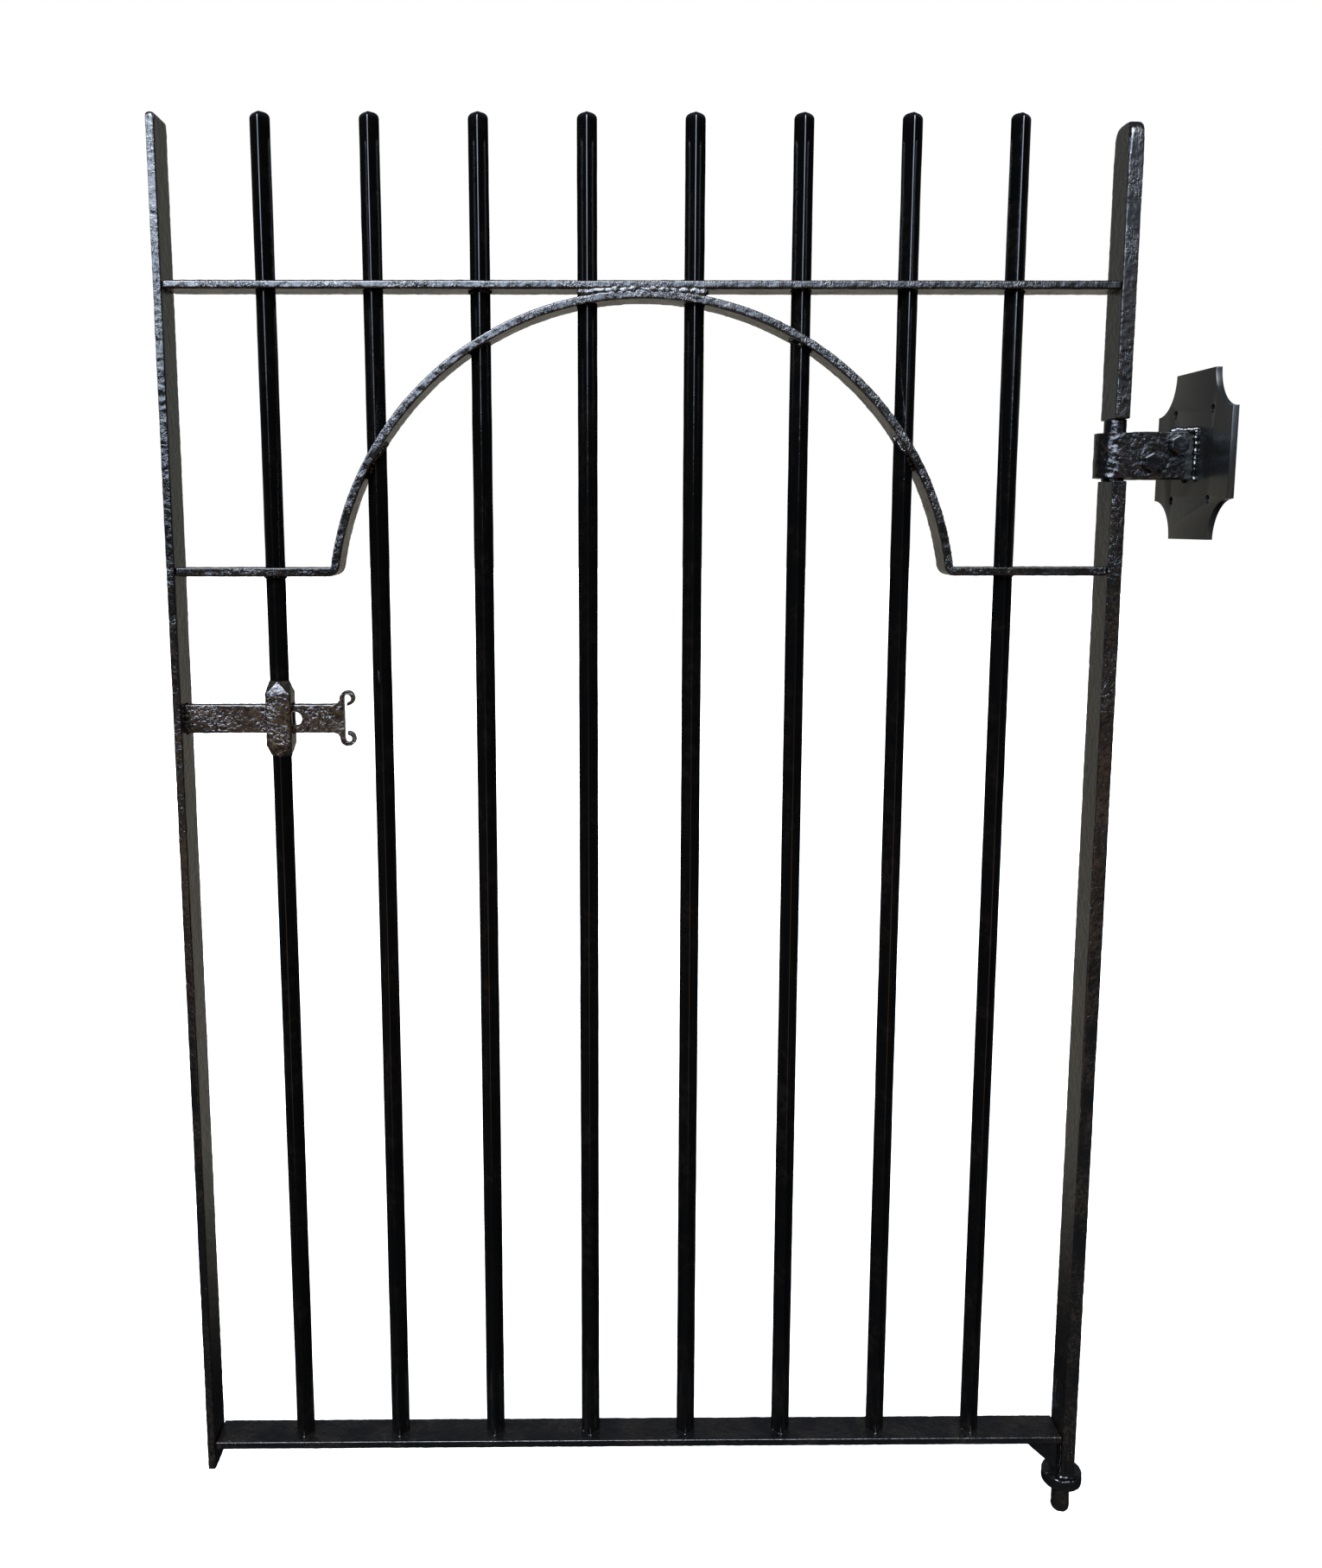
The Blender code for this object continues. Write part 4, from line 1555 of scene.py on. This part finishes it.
@dataclass
class Studio:
    """Floor, sky and camera."""

    camera_place: Vector = field(default_factory=lambda: Vector((-0.58055, -1.30005, -0.06325)))
    camera_tilt: float = 81.987
    camera_roll: float = 0.037
    camera_turn: float = -0.478
    lens: float = 30.387
    shift_x: float = 0.0327
    shift_y: float = -0.0480
    near_clip: float = 0.01
    floor_size: float = 60.0
    floor_drop: float = 0.0005
    floor_grey: Colour = (0.85, 0.85, 0.85)
    floor_glow: float = 0.55
    white: Colour = (1.0, 1.0, 1.0)
    # Painted reflection: the bands and colours of the glow that the floor shows to reflections and
    # light, warm as a sunlit street in front, dark as shade near the leaf and far ahead, grey
    # behind
    warm_starts: Band = (-0.9, -0.5)
    warm_ends: Band = (-1.9, -2.8)
    behind_starts: Band = (-0.1, 0.9)
    lit_floor_glow: Colour = (0.95, 0.62, 0.38)
    shaded_floor_glow: Colour = (0.012, 0.013, 0.015)
    back_floor_glow: Colour = (0.30, 0.28, 0.24)
    side_sky: Colour = (0.010, 0.010, 0.012)
    back_sky: Colour = (0.24, 0.24, 0.22)
    high_sky: Colour = (0.09, 0.10, 0.13)
    front_haze: Colour = (0.05, 0.045, 0.04)
    opening_low: Colour = (9.0, 10.6, 13.5)
    opening_high: Colour = (30.0, 32.0, 35.0)

    def floor(self) -> None:
        """A plain pale floor at the foot pin's end; to other surfaces it glows as a painted
        reflection, warm where lit, dark where shaded.
        """
        low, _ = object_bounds()
        Bench.clear()
        place = (self.camera_place.x, 0.0, low.z - self.floor_drop)
        bpy.ops.mesh.primitive_plane_add(size=self.floor_size, location=place)
        floor = bpy.context.active_object
        floor.name = "studio_floor"
        material = bpy.data.materials.new("pale_floor")
        material.use_nodes = True
        board = Board(material.node_tree)
        nodes = material.node_tree.nodes
        pale = nodes["Principled BSDF"]
        board.fill(pale, {"Base Color": self.floor_grey, "Roughness": 0.9,
                          "Specular IOR Level": 0.0, "Emission Color": self.white,
                          "Emission Strength": self.floor_glow})
        # Painted reflection: every ray but the camera's sees the floor as a glowing sheet, warm
        # where lit and dark where shaded
        reflected_glow = board.node("ShaderNodeEmission")
        spot = board.node("ShaderNodeSeparateXYZ")
        board.join(board.node("ShaderNodeTexCoord").outputs["Object"], spot.inputs["Vector"])
        across = board.maths("ABSOLUTE", spot.outputs["X"])
        ahead = board.maths("ADD", spot.outputs["Y"], board.maths("MULTIPLY", across, 1.3))
        past = board.maths("SUBTRACT", spot.outputs["Y"], board.maths("MULTIPLY", across, 0.8))
        dark = board.maths("MAXIMUM", board.span(ahead, *self.warm_starts),
                           board.span(ahead, *self.warm_ends))
        front = board.mix(dark, self.lit_floor_glow, self.shaded_floor_glow)
        behind = board.span(past, *self.behind_starts)
        board.join(board.mix(behind, front, self.back_floor_glow), reflected_glow.inputs["Color"])
        board.by_ray(pale.outputs[0], reflected_glow.outputs[0], nodes["Material Output"].inputs["Surface"])
        floor.data.materials.append(material)
        floor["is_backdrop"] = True

    def sky(self) -> None:
        """White behind the object; reflected, a bright sky high in front and dim sides and back."""
        world = bpy.data.worlds.new("studio_sky")
        bpy.context.scene.world = world
        world.use_nodes = True
        tree = world.node_tree
        board = Board(tree)
        backdrop = tree.nodes["Background"]
        board.fill(backdrop, {"Color": self.white, "Strength": 1.0})
        way = board.node("ShaderNodeSeparateXYZ")
        board.join(board.node("ShaderNodeTexCoord").outputs["Generated"], way.inputs["Vector"])
        side, depth, height = way.outputs["X"], way.outputs["Y"], way.outputs["Z"]
        front = board.span(depth, -0.45, -0.80)
        back = board.span(depth, 0.30, 0.75)
        leftward = board.span(side, 0.34, -0.10)
        high = board.span(height, 0.02, 0.24)
        bright = board.maths("MULTIPLY", board.maths("MULTIPLY", front, high),
                             board.blend(leftward, 0.07, 1.0))

        dim = board.mix(back, self.side_sky, self.back_sky)
        above = board.mix(board.span(height, 0.25, 0.6), dim, self.high_sky)
        lower = board.mix(front, above, self.front_haze)
        opening = board.mix(board.span(height, 0.28, 0.52), self.opening_low, self.opening_high)
        sky = board.mix(bright, lower, opening)
        glow = board.node("ShaderNodeBackground")
        board.join(sky, glow.inputs["Color"])
        board.by_ray(backdrop.outputs[0], glow.outputs[0],
                     tree.nodes["World Output"].inputs["Surface"])

    def camera(self) -> None:
        """A camera in front of the leaf at chest height, tilted down a little."""
        lens = bpy.data.cameras.new("studio_camera")
        lens.lens = self.lens
        lens.shift_x = self.shift_x
        lens.shift_y = self.shift_y
        lens.clip_start = self.near_clip
        camera = bpy.data.objects.new("studio_camera", lens)
        bpy.context.scene.collection.objects.link(camera)
        turns = [math.radians(a) for a in (self.camera_tilt, self.camera_roll, self.camera_turn)]
        camera.location = self.camera_place
        camera.rotation_euler = Euler(turns, "XYZ")
        bpy.context.scene.camera = camera

    def build(self) -> None:
        """Sets up the whole studio."""
        self.floor()
        self.sky()
        self.camera()
        bpy.context.scene.view_settings.view_transform = "Standard"


def main() -> None:
    """Builds the gate's looks in order."""
    logging.basicConfig(level=logging.INFO, format="%(name)s: %(message)s")
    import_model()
    Stiles().build()
    Rails().build()
    Pickets().build()
    Latch().build()
    Foot().build()
    WallBracket().build()
    Welds().build()
    Studio().build()


if __name__ == "__main__":
    main()
